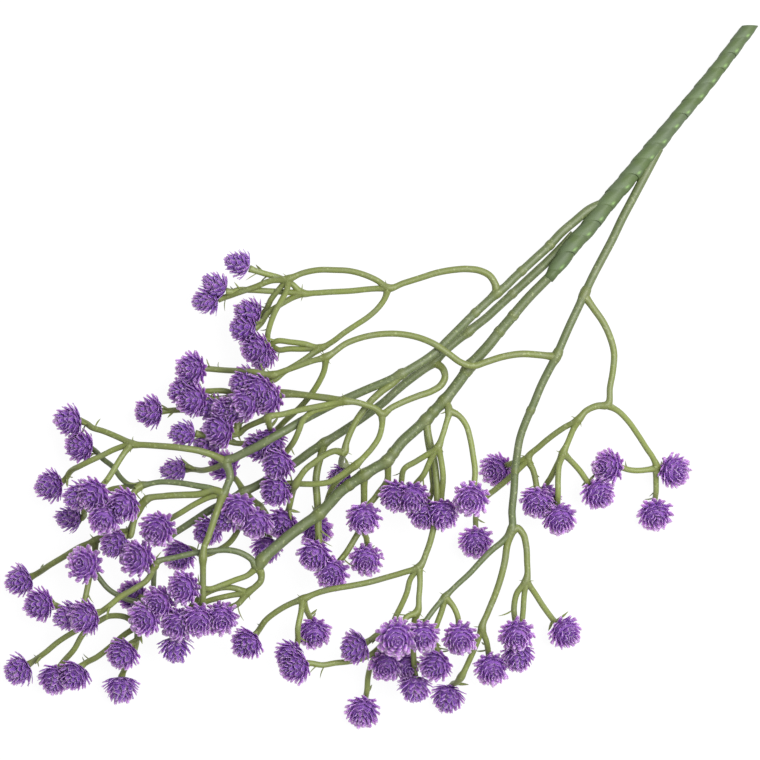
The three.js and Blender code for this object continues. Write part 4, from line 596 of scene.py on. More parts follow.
class Spray:
    """Every head, joint and stem, with the heights that the push-apart rule settles."""

    def __init__(self):
        self.lowest = []
        self.stiffness = []
        self.knots = []
        self.heads = {}
        self.joints = {}
        self.runs = []
        self._add_heads()
        self._add_joints()
        for row in RUNS:
            self._add_run(*row)
        self.shift = np.zeros(len(self.stiffness))
        self.lowest = np.array(self.lowest)
        self.stiffness = np.array(self.stiffness)
        self.knots = {key: np.array([knot[key] for knot in self.knots]) for key in self.knots[0]}
        heads = list(self.heads.values())
        self.head_u, self.head_v, self.head_size, self.head_base = (
            np.array([head[key] for head in heads], float) for key in ("u", "v", "size", "base")
        )
        self.head_axis = np.array([head["axis"] for head in heads])
        self.head_mover = np.array([head["mover"] for head in heads])
        self._settle()

    def _mover(self, stiffness):
        """A new height that can be pushed, by its number."""
        self.stiffness.append(stiffness)
        self.lowest.append(-math.inf)
        return len(self.stiffness) - 1

    def _add_heads(self):
        """Heads, one mover a group. One on the table lies as low as its petals and calyx let it."""
        group_of = {name: group for group in GROUPS for name in group}
        movers = {}
        for name, (u, v, z, right, down, to_eye, size) in HEADS.items():
            group = group_of.get(name, (name,))
            if group not in movers:
                movers[group] = self._mover(STIFFNESS["head"])
            mover = movers[group]
            axis = facing(right, down, to_eye)
            calyx_down = -HEAD_BACK * axis[2] + TWIG_END_RADIUS + TABLE_GAP
            floor = max(head_reach(size, axis, np.array([0, 0, -1])) - PRESS, calyx_down)
            base = floor if z == 0 else z
            if z == 0:
                self.stiffness[mover] = 0.0
            self.lowest[mover] = max(self.lowest[mover], floor - base)
            self.heads[name] = {
                "index": len(self.heads), "group": group, "u": u, "v": v, "size": size,
                "axis": axis, "base": base, "mover": mover,
            }

    def _knot(self, u, v, base, mover, radius):
        """A new knot of a stem, by its number. Its stem may not go through the table."""
        self.lowest[mover] = max(self.lowest[mover], radius + TABLE_GAP - base)
        self.knots.append({"u": u, "v": v, "base": base, "mover": mover, "head": -1, "behind": 0.0})
        return len(self.knots) - 1

    def _head_knot(self, head, behind):
        """A knot that hangs behind a head, and moves with it."""
        self.knots.append({
            "u": 0, "v": 0, "base": 0, "mover": head["mover"], "head": head["index"],
            "behind": behind,
        })
        return len(self.knots) - 1

    def _add_joints(self):
        """A knot and a mover for each joint."""
        for name, (u, v, z) in JOINTS.items():
            mover = self._mover(STIFFNESS["sprig"])
            if name in FIXED_JOINTS:
                self.stiffness[mover] = 0.0
            self.joints[name] = self._knot(u, v, z, mover, TWIG_RADIUS)

    def _add_run(self, body, kind, start, via, to):
        """A stem's knots, at heights drawn straight from its start to its end by length."""
        head = self.heads.get(to)
        first = self.knots[self.joints[start]]
        end = head or self.knots[self.joints[to]]
        places = np.array([(first["u"], first["v"]), *via, (end["u"], end["v"])], float)
        lengths = np.append(0, np.cumsum(np.linalg.norm(np.diff(places, axis=0), axis=1)))
        end_base = end["base"] + (HEAD_BACK * head["axis"][2] if head else 0)
        start_radius, end_radius = self._radii(body, kind, start, to)
        knots = [self.joints[start]]
        for (u, v), length in zip(via, lengths[1:]):
            part = length / lengths[-1]
            base = first["base"] * (1 - part) + end_base * part
            knots.append(self._knot(u, v, base, self._mover(STIFFNESS[kind]), start_radius))
        if head:
            behind = HEAD_GAP - HEAD_BACK
            knots += [self._head_knot(head, behind + APPROACH), self._head_knot(head, behind)]
        else:
            knots.append(self.joints[to])
        self.runs.append({
            "body": body, "kind": kind, "from": start, "to": to, "knots": knots,
            "radii": (start_radius, end_radius), "head": head,
        })

    @staticmethod
    def _radii(body, kind, start, to):
        """A stem's radius at its start and at its end."""
        if kind == "branch":
            first, middle, last, first_joint, last_joint = BRANCHES[body]
            return (first if start == first_joint else middle, last if to == last_joint else middle)
        if kind == "sprig":
            return (SPRIG_RADIUS, TWIG_RADIUS)
        return (TWIG_RADIUS, TWIG_END_RADIUS if to in HEADS else TWIG_RADIUS)

    def centres(self):
        """Where the heads' centres are now."""
        return place(self.head_u, self.head_v, self.head_base + self.shift[self.head_mover])

    def knot_places(self):
        """Where the knots are now. One at a head hangs a set way behind the head's centre."""
        knots = self.knots
        places = place(knots["u"], knots["v"], knots["base"] + self.shift[knots["mover"]])
        at_head = knots["head"] >= 0
        head = knots["head"][at_head]
        behind = knots["behind"][at_head, None] * self.head_axis[head]
        places[at_head] = self.centres()[head] - behind
        places[at_head, 2] = np.maximum(places[at_head, 2], TWIG_END_RADIUS + TABLE_GAP)
        return places

    def _samples(self):
        """Evenly spaced points of all stems: the two knots that carry each, its share between
        them, its radius, its stem's branch, the length to its end and the group of its head."""
        places = self.knot_places()
        rows = []
        bodies = list(BRANCHES)
        groups = {head["group"]: i for i, head in enumerate(self.heads.values())}
        for run in self.runs:
            at = places[run["knots"]]
            lengths = np.linalg.norm(np.diff(at, axis=0), axis=1)
            total = lengths.sum()
            before = 0.0
            group = groups[run["head"]["group"]] if run["head"] else -1
            first_radius, last_radius = run["radii"]
            for i, length in enumerate(lengths):
                count = max(1, math.floor(length / SAMPLE_STEP + 0.5))
                parts = (np.arange(count) + 0.5) / count
                along = before + parts * length
                for part, distance in zip(parts, along):
                    radius = first_radius + (last_radius - first_radius) * distance / total
                    rows.append((
                        run["knots"][i], run["knots"][i + 1], part, radius,
                        bodies.index(run["body"]), total - distance, group,
                    ))
                before += length
        columns = np.array(rows).T
        names = ("first", "second", "part", "radius", "body", "to_end", "group")
        samples = dict(zip(names, columns))
        for key in ("first", "second", "body", "group"):
            samples[key] = samples[key].astype(int)
        self.head_group = np.array([groups[head["group"]] for head in self.heads.values()])
        return samples

    def _item_places(self, samples):
        """Where the heads and the sampled points of the stems are now."""
        knots = self.knot_places()
        share = samples["part"][:, None]
        stems = knots[samples["first"]] * (1 - share) + knots[samples["second"]] * share
        return np.vstack([self.centres(), stems])

    def _pairs(self, samples):
        """Pairs that could touch at some height: heads of different groups, heads with stems,
        and stems of different branches. The first of each pair is the one that lies higher."""
        at = self._item_places(samples)
        count = len(self.head_u)
        flat = np.linalg.norm(at[:, None, :2] - at[None, :, :2], axis=-1)
        is_head = np.arange(len(at)) < count
        radius = np.append(np.zeros(count), samples["radius"])
        group = np.append(self.head_group, samples["group"])
        body = np.append(np.full(count, -1), samples["body"])
        to_end = np.append(np.full(count, math.inf), samples["to_end"])
        both = is_head[:, None] & is_head[None, :]
        mixed = is_head[:, None] & ~is_head[None, :]
        stems = ~is_head[:, None] & ~is_head[None, :]
        own = (group[:, None] == group[None, :]) & (to_end[None, :] < OWN_HEAD_LENGTH)
        near = both & (group[:, None] != group[None, :]) & (flat < 2 * REACH_SIDE + HEADS_APART)
        near |= mixed & ~own & (flat < REACH_SIDE + HEAD_APART_FROM_STEM)
        close = flat < radius[:, None] + radius[None, :] + STEMS_APART
        near |= stems & (body[:, None] != body[None, :]) & close
        first, second = np.nonzero(np.triu(near, 1))
        higher = at[first, 2] >= at[second, 2]
        return np.where(higher, first, second), np.where(higher, second, first)

    def _settle(self):
        """Lift the upper and press down the lower of each pair by the missing distance over the
        steepness of the way between them, keep the largest push of each height, smooth along
        the stems, and let every height creep back to where it was typed."""
        samples = self._samples()
        upper, lower = self._pairs(samples)
        count = len(self.head_u)
        size = np.append(self.head_size, np.ones(len(samples["part"])))
        axis = np.vstack([self.head_axis, np.zeros((len(samples["part"]), 3))])
        radius = np.append(np.zeros(count), samples["radius"])
        is_head = np.arange(len(size)) < count
        share = samples["part"]
        mover = self.knots["mover"]
        carriers = np.vstack([
            np.column_stack([self.head_mover, self.head_mover]),
            np.column_stack([mover[samples["first"]], mover[samples["second"]]]),
        ])
        weights = np.vstack([np.tile([1.0, 0.0], (count, 1)), np.column_stack([1 - share, share])])
        stiffness = np.sum(self.stiffness[carriers] * weights, axis=1)
        leverage = weights / np.sum(weights**2, axis=1, keepdims=True)
        before = np.concatenate([mover[run["knots"][:-1]] for run in self.runs])
        after = np.concatenate([mover[run["knots"][1:]] for run in self.runs])
        links = np.zeros(len(self.shift))
        np.add.at(links, before, 1)
        np.add.at(links, after, 1)
        free = self.stiffness > 0

        def reach(items, direction):
            """A head's reach along a direction, or a stem's radius."""
            heads = head_reach(size[items], axis[items], direction)
            return np.where(is_head[items], heads, radius[items])

        for _ in range(SWEEPS):
            at = self._item_places(samples)
            offset = at[upper] - at[lower]
            distance = np.maximum(np.linalg.norm(offset, axis=1), 1e-6)
            direction = offset / distance[:, None]
            need = reach(upper, direction) + reach(lower, direction) + CLEARANCE
            slope = np.maximum(LEAST_SLOPE, np.abs(direction[:, 2]))
            rising = direction[:, 2] > 0
            amount = np.where(rising, (need - distance) / slope, need / 2 - offset[:, 2])
            total = np.minimum(amount, LARGEST_PUSH) * PUSH
            both = stiffness[upper] + stiffness[lower]
            total = np.where((distance < need) & (both > 0), total, 0) / np.maximum(both, 1e-9)
            lift = np.zeros(len(self.shift))
            drop = np.zeros(len(self.shift))
            for k in range(2):
                rise = total * stiffness[upper] * leverage[upper, k]
                fall = -total * stiffness[lower] * leverage[lower, k]
                np.maximum.at(lift, carriers[upper, k], rise)
                np.minimum.at(drop, carriers[lower, k], fall)
            pull = np.zeros(len(self.shift))
            step = self.shift[after] - self.shift[before]
            np.add.at(pull, before, step)
            np.add.at(pull, after, -step)
            smoothed = SMOOTHING * pull / np.maximum(1, links)
            moved = self.shift + lift + drop + smoothed - RETURN * self.shift
            self.shift = np.where(free, np.maximum(moved, self.lowest), self.shift)

    def strands(self, body):
        """Runs that follow on from one another, so that only side stems start at a joint."""
        left = [run for run in self.runs if run["body"] == body]
        strands = []
        while left:
            strand = [left.pop(0)]
            while True:
                onward = next((run for run in left if run["from"] == strand[-1]["to"]), None)
                if onward is None:
                    break
                left.remove(onward)
                strand.append(onward)
            strands.append(strand)
        return strands


# Stem forms, in millimetres.
STEM_STEP = 0.7
# How much thicker each kind of stem is than its plain solid.
FULLNESS = {"branch": 1.05, "sprig": 1.21, "twig": 1.16}
# Where each kind of stem stands in the stem colours, from branch to twig.
KIND_TONE = {"branch": 0.0, "sprig": 0.7, "twig": 1.0}
# Sleeve ends along the branch stems, as picture places.
SLEEVES = {
    "A": ((545, 240), (519, 268), (470, 308), (402, 372)),
    "B": ((505, 287), (446, 334), (380, 386), (330, 423)),
    "C": ((513, 315), (503, 335), (470, 374), (437, 415), (396, 455), (352, 490)),
    "D": ((584, 290), (556, 352), (531, 410), (516, 470), (511, 528)),
}
SLEEVE_RISE = 0.24
SLEEVE_LENGTH = 1.1
SLEEVE_TONE = 0.8
# A branch has a sleeve where it passes a sleeve's place nearer than this.
SLEEVE_NEAR = 4
# Share of its typed bend that a twig keeps just before its head.
APPROACH_BEND = 0.3
BRANCH_SIDES = 14
TWIG_SIDES = 10
# How far along a stem its collars, its knuckles and its flared root reach, and the flare's rise.
COLLAR_REACH = 2.0
KNUCKLE_REACH = 2.2
ROOT_FLARE = 0.45
ROOT_REACH = 2.6
# Share of its radius that a blunt end keeps in its last ring.
END_ROUND = 0.6

# Leaflets: small pointed bracts behind each head, and teeth at each fork, in millimetres.
LEAFLET_SIDES = 6
LEAFLET_STATIONS = 6
# How far behind a head its leaflets grow, how much that strays, and how many there are at least.
LEAFLET_PLACES = (3.4, 5.2, 8.0)
LEAFLET_STRAY = 0.8
LEAST_LEAFLETS = 2
LEAFLET_LENGTH = (3.4, 6.4)
LEAFLET_LEAN = (25, 65)
# Share of its length by which a leaflet curls outwards.
LEAFLET_CURL = (0.05, 0.35)
# How far from the stem's middle a leaflet is rooted, as a share of the stem's radius.
LEAFLET_ROOT = 0.6
TOOTH_LENGTH = (2.2, 3.2)
TOOTH_LEAN = (35, 75)
TOOTH_ROOT = 0.5

# Tape form, in millimetres.
TAPE_PITCH = 8.1
TAPE_STEP = 0.35
TAPE_SIDES = 56
# Places along one turn, as shares of it, and how high the tape stands there, as a share of the
# bulge: it rises along the turn and steps back in at the lap.
TAPE_PARTS = np.array([0.0, 0.03, 0.2, 0.4, 0.6, 0.8, 0.93, 0.985])
TAPE_SWELL = np.array([0.3, 0.25, 0.45, 0.66, 0.84, 1.0, 0.9, 0.6])
# How much the turns differ: shares of the bulge, and millimetres that a turn leans.
TURN_SCALE = (0.7, 1.25)
TURN_SLANT = (2.0, 3.0)
# Two sets of shallow creases: their height, how many lie round the stem, and how far they turn
# for each millimetre along it.
LONG_CREASE = (0.05, 3, 2.1)
SHORT_CREASE = (0.04, 7, -0.9)
# The length over which the tilted turns straighten towards both ends.
TAPE_END_TURN = 9.0
# The raised pip on each turn, coloured as a painted highlight: its place along the turn, its size, its
# rise and the way it faces: right and down in the picture, and to the eye.
PIP_PART = 0.8
PIP_SIZE = 0.55
PIP_RISE = 0.08
PIP_FACES = (0.5, 0.2, 0.8)
# Stretches of the tape's UV map: millimetres round the stem for each radian.
TAPE_UV_RADIUS = 3.0

# The wire and the hole that it stands in, in millimetres.
WIRE_SIDES = 16
WIRE_CHAMFER = 0.15
WIRE_TIP_RADIUS = 0.68
WIRE_PLACES = (0.0, WIRE_CHAMFER, 3.0, 8.0, 14.0)
HOLE_GAP = 0.1
HOLE_DEPTH = 3.0

# Pattern sizes, in millimetres. The real grain, specks and cutter's marks are finer than the
# render shows, so they are drawn coarser.
DYE_PATCH = 3.846
STEM_BLOOM_PATCH = 5.556
MOULD_SPECK = 1.111
MOULD_GRAIN = 0.7143
WAX_PATCH = 6.667
# A crease of the crepe: its length round the stem and its width along it.
CREPE_CREASE = (1.25, 0.25)
CUTTER_MARK = 0.4
# Depths that light and bumps reach, in millimetres.
PETAL_GLOW_DEPTH = 1.6
STEM_GLOW_DEPTH = 0.5
GRAIN_DEPTH = 0.1
CREPE_DEPTH = 0.15

# The stage. The light's place is right and up in the picture and above the table, in heights of
# the eye. The table glows, so it stays white and takes next to no shadow.
LIGHT_PLACE = (0.4, 0.15, 0.85)
FLOOR_GLOW = 0.93
SENSOR_WIDTH = 36

# Head form. Each layer is a star disc bent into a cup: its petals, then the place along the
# head's axis and the radius where the disc is rooted, where it bends and where its tips are, and
# the share of that way after which the petals stand free. Before it they are one sheet.
LAYERS = (
    (11, (-4.9, 0.9), (-4.5, 4.4), (-2.7, 7.2), 0.6),
    (11, (-4.3, 0.9), (-3.2, 4.5), (-0.8, 7.3), 0.6),
    (11, (-3.6, 0.8), (-1.8, 4.6), (1.3, 6.3), 0.72),
    (10, (-2.8, 0.7), (-0.1, 4.0), (3.0, 4.9), 0.78),
    (9, (-2.0, 0.6), (1.2, 2.9), (4.2, 3.5), 0.78),
    (7, (-1.2, 0.5), (2.1, 1.8), (4.8, 2.1), 0.78),
    (4, (-0.5, 0.4), (2.7, 0.8), (4.9, 0.8), 0.7),
)
PETAL_STATIONS = np.array([0.0, 0.3, 0.56, 0.66, 0.76, 0.88, 0.96, 1.0])
PETAL_WIDTHS = np.array([1.0, 1.0, 1.0, 1.0, 0.98, 1.0, 0.95, 0.55])
# Share of the way over which a petal narrows from the sheet's width to its own.
PETAL_NECK = 0.09
# How thick a petal is along its way, as places and shares of its full thickness.
PETAL_THINNING = ((0, 0.8, 1), (1.0, 0.9, 0.5))
# How far a free petal's edges rise, as a share of its width.
PETAL_TROUGH = 0.08
# How far the petals of one sheet overlap, and the widest that a free petal is, as shares of the
# distance between petals.
SHEET_OVERLAP = 1.12
WIDEST_PETAL = 0.8
# Corners of a petal's section: across, from edge to edge, and up, from back to front.
PETAL_SECTION = np.array([[-1, 0], [-0.4, -0.5], [0.4, -0.5], [1, 0], [0, 0.5]])
# How far each layer is turned from the one below, and how much that strays, in radians.
LAYER_TURN = 2.4
LAYER_STRAY = 0.1
# How much petals differ. Tilt, wave and curl are millimetres along the head's axis, length and
# width are shares, and twist and sway are radians.
PETAL_SPREAD = {
    "tilt": 0.3, "wave": 0.3, "length": 0.035, "curl": 0.3, "twist": 0.35, "width": 0.1,
    "sway": 0.09,
}
SEED = 20
# The fused middles of the discs: places along the head's axis and radii of one closed body
# that shows between the petals.
CORE = (
    (-5.0, 0.0), (-4.6, 2.8), (-3.4, 4.2), (-0.8, 4.5), (1.0, 3.7), (2.1, 2.5), (2.8, 1.3),
    (3.0, 0.0),
)
CORE_SIDES = 12
# The core's tone, and the share of a petal's way whose colour it takes.
CORE_TONE = (0.8, 0.25, 1.0)
CORE_SHARE = 0.5
# Least height of any corner above the table, in millimetres.
TABLE_LIFT = 0.03


def new_mesh(name, places, quads, material, replaced, triangles=(), uv=None, tone=None):
    """A piece from corners in millimetres, with its faces, a UV map and a tone attribute. It
    rides on the one body and stands for the CAD nodes named."""
    mesh = bpy.data.meshes.new(name)
    faces = [np.asarray(quads).reshape(-1, 4), np.asarray(triangles, int).reshape(-1, 3)]
    corners = np.concatenate([part.ravel() for part in faces])
    sizes = np.concatenate([np.full(len(part), part.shape[1]) for part in faces])
    mesh.vertices.add(len(places))
    mesh.vertices.foreach_set("co", (np.asarray(places) * MM).astype(np.float32).ravel())
    mesh.loops.add(len(corners))
    mesh.loops.foreach_set("vertex_index", corners.astype(np.int32))
    mesh.polygons.add(len(sizes))
    mesh.polygons.foreach_set("loop_start", np.append(0, np.cumsum(sizes)[:-1]).astype(np.int32))
    mesh.polygons.foreach_set("loop_total", sizes.astype(np.int32))
    mesh.polygons.foreach_set("use_smooth", np.ones(len(sizes), bool))
    if uv is not None:
        layer = mesh.uv_layers.new(name="along")
        layer.data.foreach_set("uv", uv[corners].astype(np.float32).ravel())
    if tone is not None:
        attribute = mesh.attributes.new("tone", "FLOAT_COLOR", "POINT")
        full = np.column_stack([tone, np.ones(len(tone))]).astype(np.float32)
        attribute.data.foreach_set("color", full.ravel())
    mesh.update(calc_edges=True)
    mesh.validate()
    mesh.materials.append(material)
    piece = bpy.data.objects.new(name, mesh)
    bpy.context.scene.collection.objects.link(piece)
    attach(piece, "root")
    if replaced:
        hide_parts(*replaced)
    return piece


def curve_through(knots, step):
    """Evenly spaced points of a smooth curve through the knots, and the length to each: cubic
    pieces whose slope at a knot is the mean of the directions to its neighbours, weighted by
    nearness."""
    knots = np.asarray(knots, float)
    gaps = np.linalg.norm(np.diff(knots, axis=0), axis=1)
    times = np.append(0, np.cumsum(gaps))
    rates = np.diff(knots, axis=0) / gaps[:, None]
    slopes = np.empty_like(knots)
    slopes[0], slopes[-1] = rates[0], rates[-1]
    weight = gaps[1:, None] / (gaps[1:] + gaps[:-1])[:, None]
    slopes[1:-1] = rates[:-1] * weight + rates[1:] * (1 - weight)
    count = max(3, int(math.ceil(times[-1] / step)) + 1)
    at = np.linspace(0, times[-1], count)
    i = np.clip(np.searchsorted(times, at, side="right") - 1, 0, len(gaps) - 1)
    part = ((at - times[i]) / gaps[i])[:, None]
    gap = gaps[i][:, None]
    square, cube = part**2, part**3
    return (
        (2 * cube - 3 * square + 1) * knots[i] + (cube - 2 * square + part) * gap * slopes[i]
        + (3 * square - 2 * cube) * knots[i + 1] + (cube - square) * gap * slopes[i + 1]
    ), at


def frames_of(places):
    """Along, side and other directions at each point. The side is square to the way along and
    as near as it can be to the direction that the path strays least in."""
    along = np.gradient(places, axis=0)
    along /= np.linalg.norm(along, axis=1, keepdims=True)
    spread = np.linalg.svd(along, full_matrices=False)[2]
    least = spread[-1]
    side = least - along * (along @ least)[:, None]
    side /= np.linalg.norm(side, axis=1, keepdims=True)
    return along, side, np.cross(along, side)


def ring_faces(count, sides):
    """Faces of a closed row of rings whose corners are followed by one corner at its start and
    one at its end: four-sided between the rings, and a fan of three-sided ones at each end."""
    side = np.arange(sides)
    low = np.arange(count - 1)[:, None] * sides + side
    turned = np.arange(count - 1)[:, None] * sides + (side + 1) % sides
    quads = np.stack([low, turned, turned + sides, low + sides], axis=-1).reshape(-1, 4)
    start = np.column_stack([turned[0], low[0], np.full(sides, count * sides)])
    end = np.column_stack([low[-1] + sides, turned[-1] + sides, np.full(sides, count * sides + 1)])
    return quads, np.vstack([start, end])


def tube(places, radii, sides):
    """A closed round tube: a ring of corners at each point, and one corner in each flat end.
    Returns corners, four-sided faces, three-sided faces and each corner's ring."""
    _, side, other = frames_of(places)
    angle = np.arange(sides) / sides * 2 * math.pi
    ring = side[:, None] * np.cos(angle)[:, None] + other[:, None] * np.sin(angle)[:, None]
    rings = places[:, None] + ring * radii[:, None, None]
    count = len(places)
    corners = np.vstack([rings.reshape(-1, 3), places[:1], places[-1:]])
    quads, triangles = ring_faces(count, sides)
    ring_of = np.append(np.repeat(np.arange(count), sides), [0, count - 1])
    return corners, quads, triangles, ring_of


class Pile:
    """Corners, faces, UVs and tones of many closed shapes that make one piece."""

    def __init__(self):
        self.places, self.quads, self.triangles, self.uv, self.tone = [], [], [], [], []
        self.count = 0

    def add(self, places, quads, triangles, uv, tone):
        """Add one closed shape."""
        self.places.append(places)
        self.quads.append(np.asarray(quads).reshape(-1, 4) + self.count)
        self.triangles.append(np.asarray(triangles).reshape(-1, 3) + self.count)
        self.uv.append(uv)
        self.tone.append(tone)
        self.count += len(places)

    def piece(self, name, material, slot, replaced):
        """Make the piece, with every corner held above the table and inside the CAD's box."""
        low, high = np.array(CAD_BOX) / MM
        low[2] = TABLE_LIFT
        places = np.clip(np.vstack(self.places), low, high)
        return new_mesh(
            name, places, np.vstack(self.quads), material, replaced,
            np.vstack(self.triangles), np.vstack(self.uv), np.vstack(self.tone),
        )


def bump(distance, reach):
    """A smooth hump: e to minus the square of distance over reach."""
    return np.exp(-((distance / reach) ** 2))


def strand_line(strand, places):
    """The knots of a strand in order, the radius at each, and which knots are forks on its way.
    A radius runs evenly from a run's start to its end, but a twig swells only at its head."""
    knots = []
    marks = []
    radii = []
    for run in strand:
        at = places[run["knots"]]
        if run["head"]:
            way = at[-3] - at[-1]
            straight = at[-1] + way / np.linalg.norm(way) * APPROACH
            at[-2] = APPROACH_BEND * at[-2] + (1 - APPROACH_BEND) * straight
        lengths = np.append(0, np.cumsum(np.linalg.norm(np.diff(at, axis=0), axis=1)))
        share = lengths / lengths[-1]
        if run["head"]:
            share = np.where(np.arange(len(at)) < len(at) - 1, 0, 1)
        first, last = run["radii"]
        own = first + (last - first) * share
        if knots:
            marks.append(len(knots) - 1)
            at, own = at[1:], own[1:]
        knots.extend(at)
        radii.extend(own)
    return np.array(knots), np.array(radii), marks


def add_strand(pile, strand, places, sizes, random):
    """One strand's tube, with collars and sleeves on a branch, knuckles where a twig forks, and
    a flared root. Each swelling is a smooth hump added to the radius. The tone holds the kind
    of stem, the nearness to a fork and a random share."""
    knots, radii, marks = strand_line(strand, places)
    lengths = np.append(0, np.cumsum(np.linalg.norm(np.diff(knots, axis=0), axis=1)))
    curve, along = curve_through(knots, STEM_STEP)
    along = along / along[-1] * lengths[-1]
    radius = np.interp(along, lengths, radii)
    kind = strand[0]["kind"]
    is_branch = kind == "branch"
    rise = sizes["collar_rise"] if is_branch else sizes["knuckle_rise"]
    reach = COLLAR_REACH if is_branch else KNUCKLE_REACH
    radius = radius * FULLNESS[kind]
    fork = np.zeros(len(curve))
    for mark in marks:
        hump = bump(along - lengths[mark], reach)
        fork = np.maximum(fork, hump)
        radius = radius + rise * hump
    if is_branch:
        for u, v in SLEEVES[strand[0]["body"]]:
            flat = np.linalg.norm((curve - place(u, v, curve[:, 2]))[:, :2], axis=1)
            away = along - along[np.argmin(flat)]
            band = np.exp(-((away / SLEEVE_LENGTH) ** 6)) * (flat.min() < SLEEVE_NEAR)
            fork = np.maximum(fork, SLEEVE_TONE * band)
            radius = radius + SLEEVE_RISE * band
    if not strand[-1]["head"]:
        hump = bump(along[-1] - along, KNUCKLE_REACH)
        fork = np.maximum(fork, hump)
        radius = radius + sizes["knuckle_rise"] * hump
        radius[-1] *= END_ROUND
    if not is_branch:
        radius = radius + ROOT_FLARE * bump(along, ROOT_REACH)
        fork = np.maximum(fork, bump(along, 2 * ROOT_REACH))
    sides = BRANCH_SIDES if is_branch else TWIG_SIDES
    corners, quads, triangles, ring_of = tube(curve, radius, sides)
    kinds = np.full(len(curve), KIND_TONE[kind])
    tone = np.column_stack([kinds, fork, np.full(len(curve), random.random())])[ring_of]
    around = np.append(np.tile(np.arange(sides) / sides, len(curve)), [0, 0])
    uv = np.column_stack([around, along[ring_of]])
    pile.add(corners, quads, triangles, uv, tone)
    return curve, along, radius


def add_leaflet(pile, root, direction, across, length, sizes, random):
    """A small pointed leaflet: a flat oval tube whose width follows a stretch of a sine, full
    near its root and nearly nothing at its tip. It curls outwards with the square of the way."""
    part = np.linspace(0, 1, LEAFLET_STATIONS)
    curl = across * (part**2)[:, None] * length * random.uniform(*LEAFLET_CURL)
    path = root + direction * (part * length)[:, None] + curl
    width = sizes["leaflet_width"] / 2 * np.sin(math.pi * (0.25 + 0.72 * part)) ** 0.8
    corners, quads, triangles, ring_of = tube(path, np.ones(LEAFLET_STATIONS), LEAFLET_SIDES)
    normal = np.cross(direction, across)
    offset = corners - path[ring_of]
    flat = offset @ normal
    thick = offset @ across
    reach = width[ring_of]
    corners = path[ring_of] + (
        normal * (flat * reach)[:, None]
        + across * (thick * reach * sizes["leaflet_thickness"] / sizes["leaflet_width"])[:, None]
    )
    tone = np.column_stack([
        np.full(len(corners), KIND_TONE["twig"]), 0.6 - 0.6 * part[ring_of],
        np.full(len(corners), random.random()),
    ])
    uv = np.column_stack([np.zeros(len(corners)), part[ring_of] * length])
    pile.add(corners, quads, triangles, uv, tone)


def square_to(direction, angle):
    """A unit vector square to a direction, turned round it by an angle."""
    helper = np.array([0.0, 0.0, 1.0]) if abs(direction[2]) < 0.9 else np.array([1.0, 0.0, 0.0])
    side = np.cross(direction, helper)
    side /= np.linalg.norm(side)
    return side * math.cos(angle) + np.cross(direction, side) * math.sin(angle)


def add_leaflets(pile, curve, along, radius, sizes, random):
    """Two or three leaflets behind the head of a strand, at set lengths from its end."""
    count = random.integers(LEAST_LEAFLETS, len(LEAFLET_PLACES) + 1)
    for distance in LEAFLET_PLACES[:count]:
        distance = distance + random.uniform(-LEAFLET_STRAY, LEAFLET_STRAY)
        i = int(np.argmin(np.abs(along[-1] - along - distance)))
        i = min(max(i, 1), len(curve) - 2)
        direction = curve[i + 1] - curve[i - 1]
        direction /= np.linalg.norm(direction)
        across = square_to(direction, random.uniform(0, 2 * math.pi))
        lean = math.radians(random.uniform(*LEAFLET_LEAN))
        way = direction * math.cos(lean) + across * math.sin(lean)
        out = across * math.cos(lean) - direction * math.sin(lean)
        length = random.uniform(*LEAFLET_LENGTH)
        root = curve[i] + across * radius[i] * LEAFLET_ROOT
        add_leaflet(pile, root, way, out, length, sizes, random)


def add_teeth(pile, spray, body, places, sizes, random):
    """Two short pointed teeth at the shoulders of each fork of the sprigs and twigs."""
    leaving = [run["from"] for run in spray.runs if run["body"] == body]
    for run in spray.runs:
        if run["body"] != body or run["kind"] == "branch" or leaving.count(run["to"]) < 2:
            continue
        before, at = places[run["knots"][-2]], places[run["knots"][-1]]
        direction = (at - before) / np.linalg.norm(at - before)
        level = square_to(direction, 0)
        for across in (level, -level):
            lean = math.radians(random.uniform(*TOOTH_LEAN))
            way = direction * math.cos(lean) + across * math.sin(lean)
            out = across * math.cos(lean) - direction * math.sin(lean)
            root = at + across * TWIG_RADIUS * TOOTH_ROOT - direction * random.uniform(0, 1)
            length = random.uniform(*TOOTH_LENGTH)
            add_leaflet(pile, root, way, out, length, sizes, random)


def build_branch(spray, body, sizes, material):
    """One moulded branch stem with its sprigs, twigs and leaflets, as one piece."""
    random = np.random.default_rng(SEED + ord(body))
    places = spray.knot_places()
    pile = Pile()
    for strand in spray.strands(body):
        curve, along, radius = add_strand(pile, strand, places, sizes, random)
        if strand[-1]["head"]:
            add_leaflets(pile, curve, along, radius, sizes, random)
    add_teeth(pile, spray, body, places, sizes, random)
    node = f"branch_stem_{body.lower()}"
    return pile.piece(f"moulded_stem_{body.lower()}", material, "moulded_stems", [node])


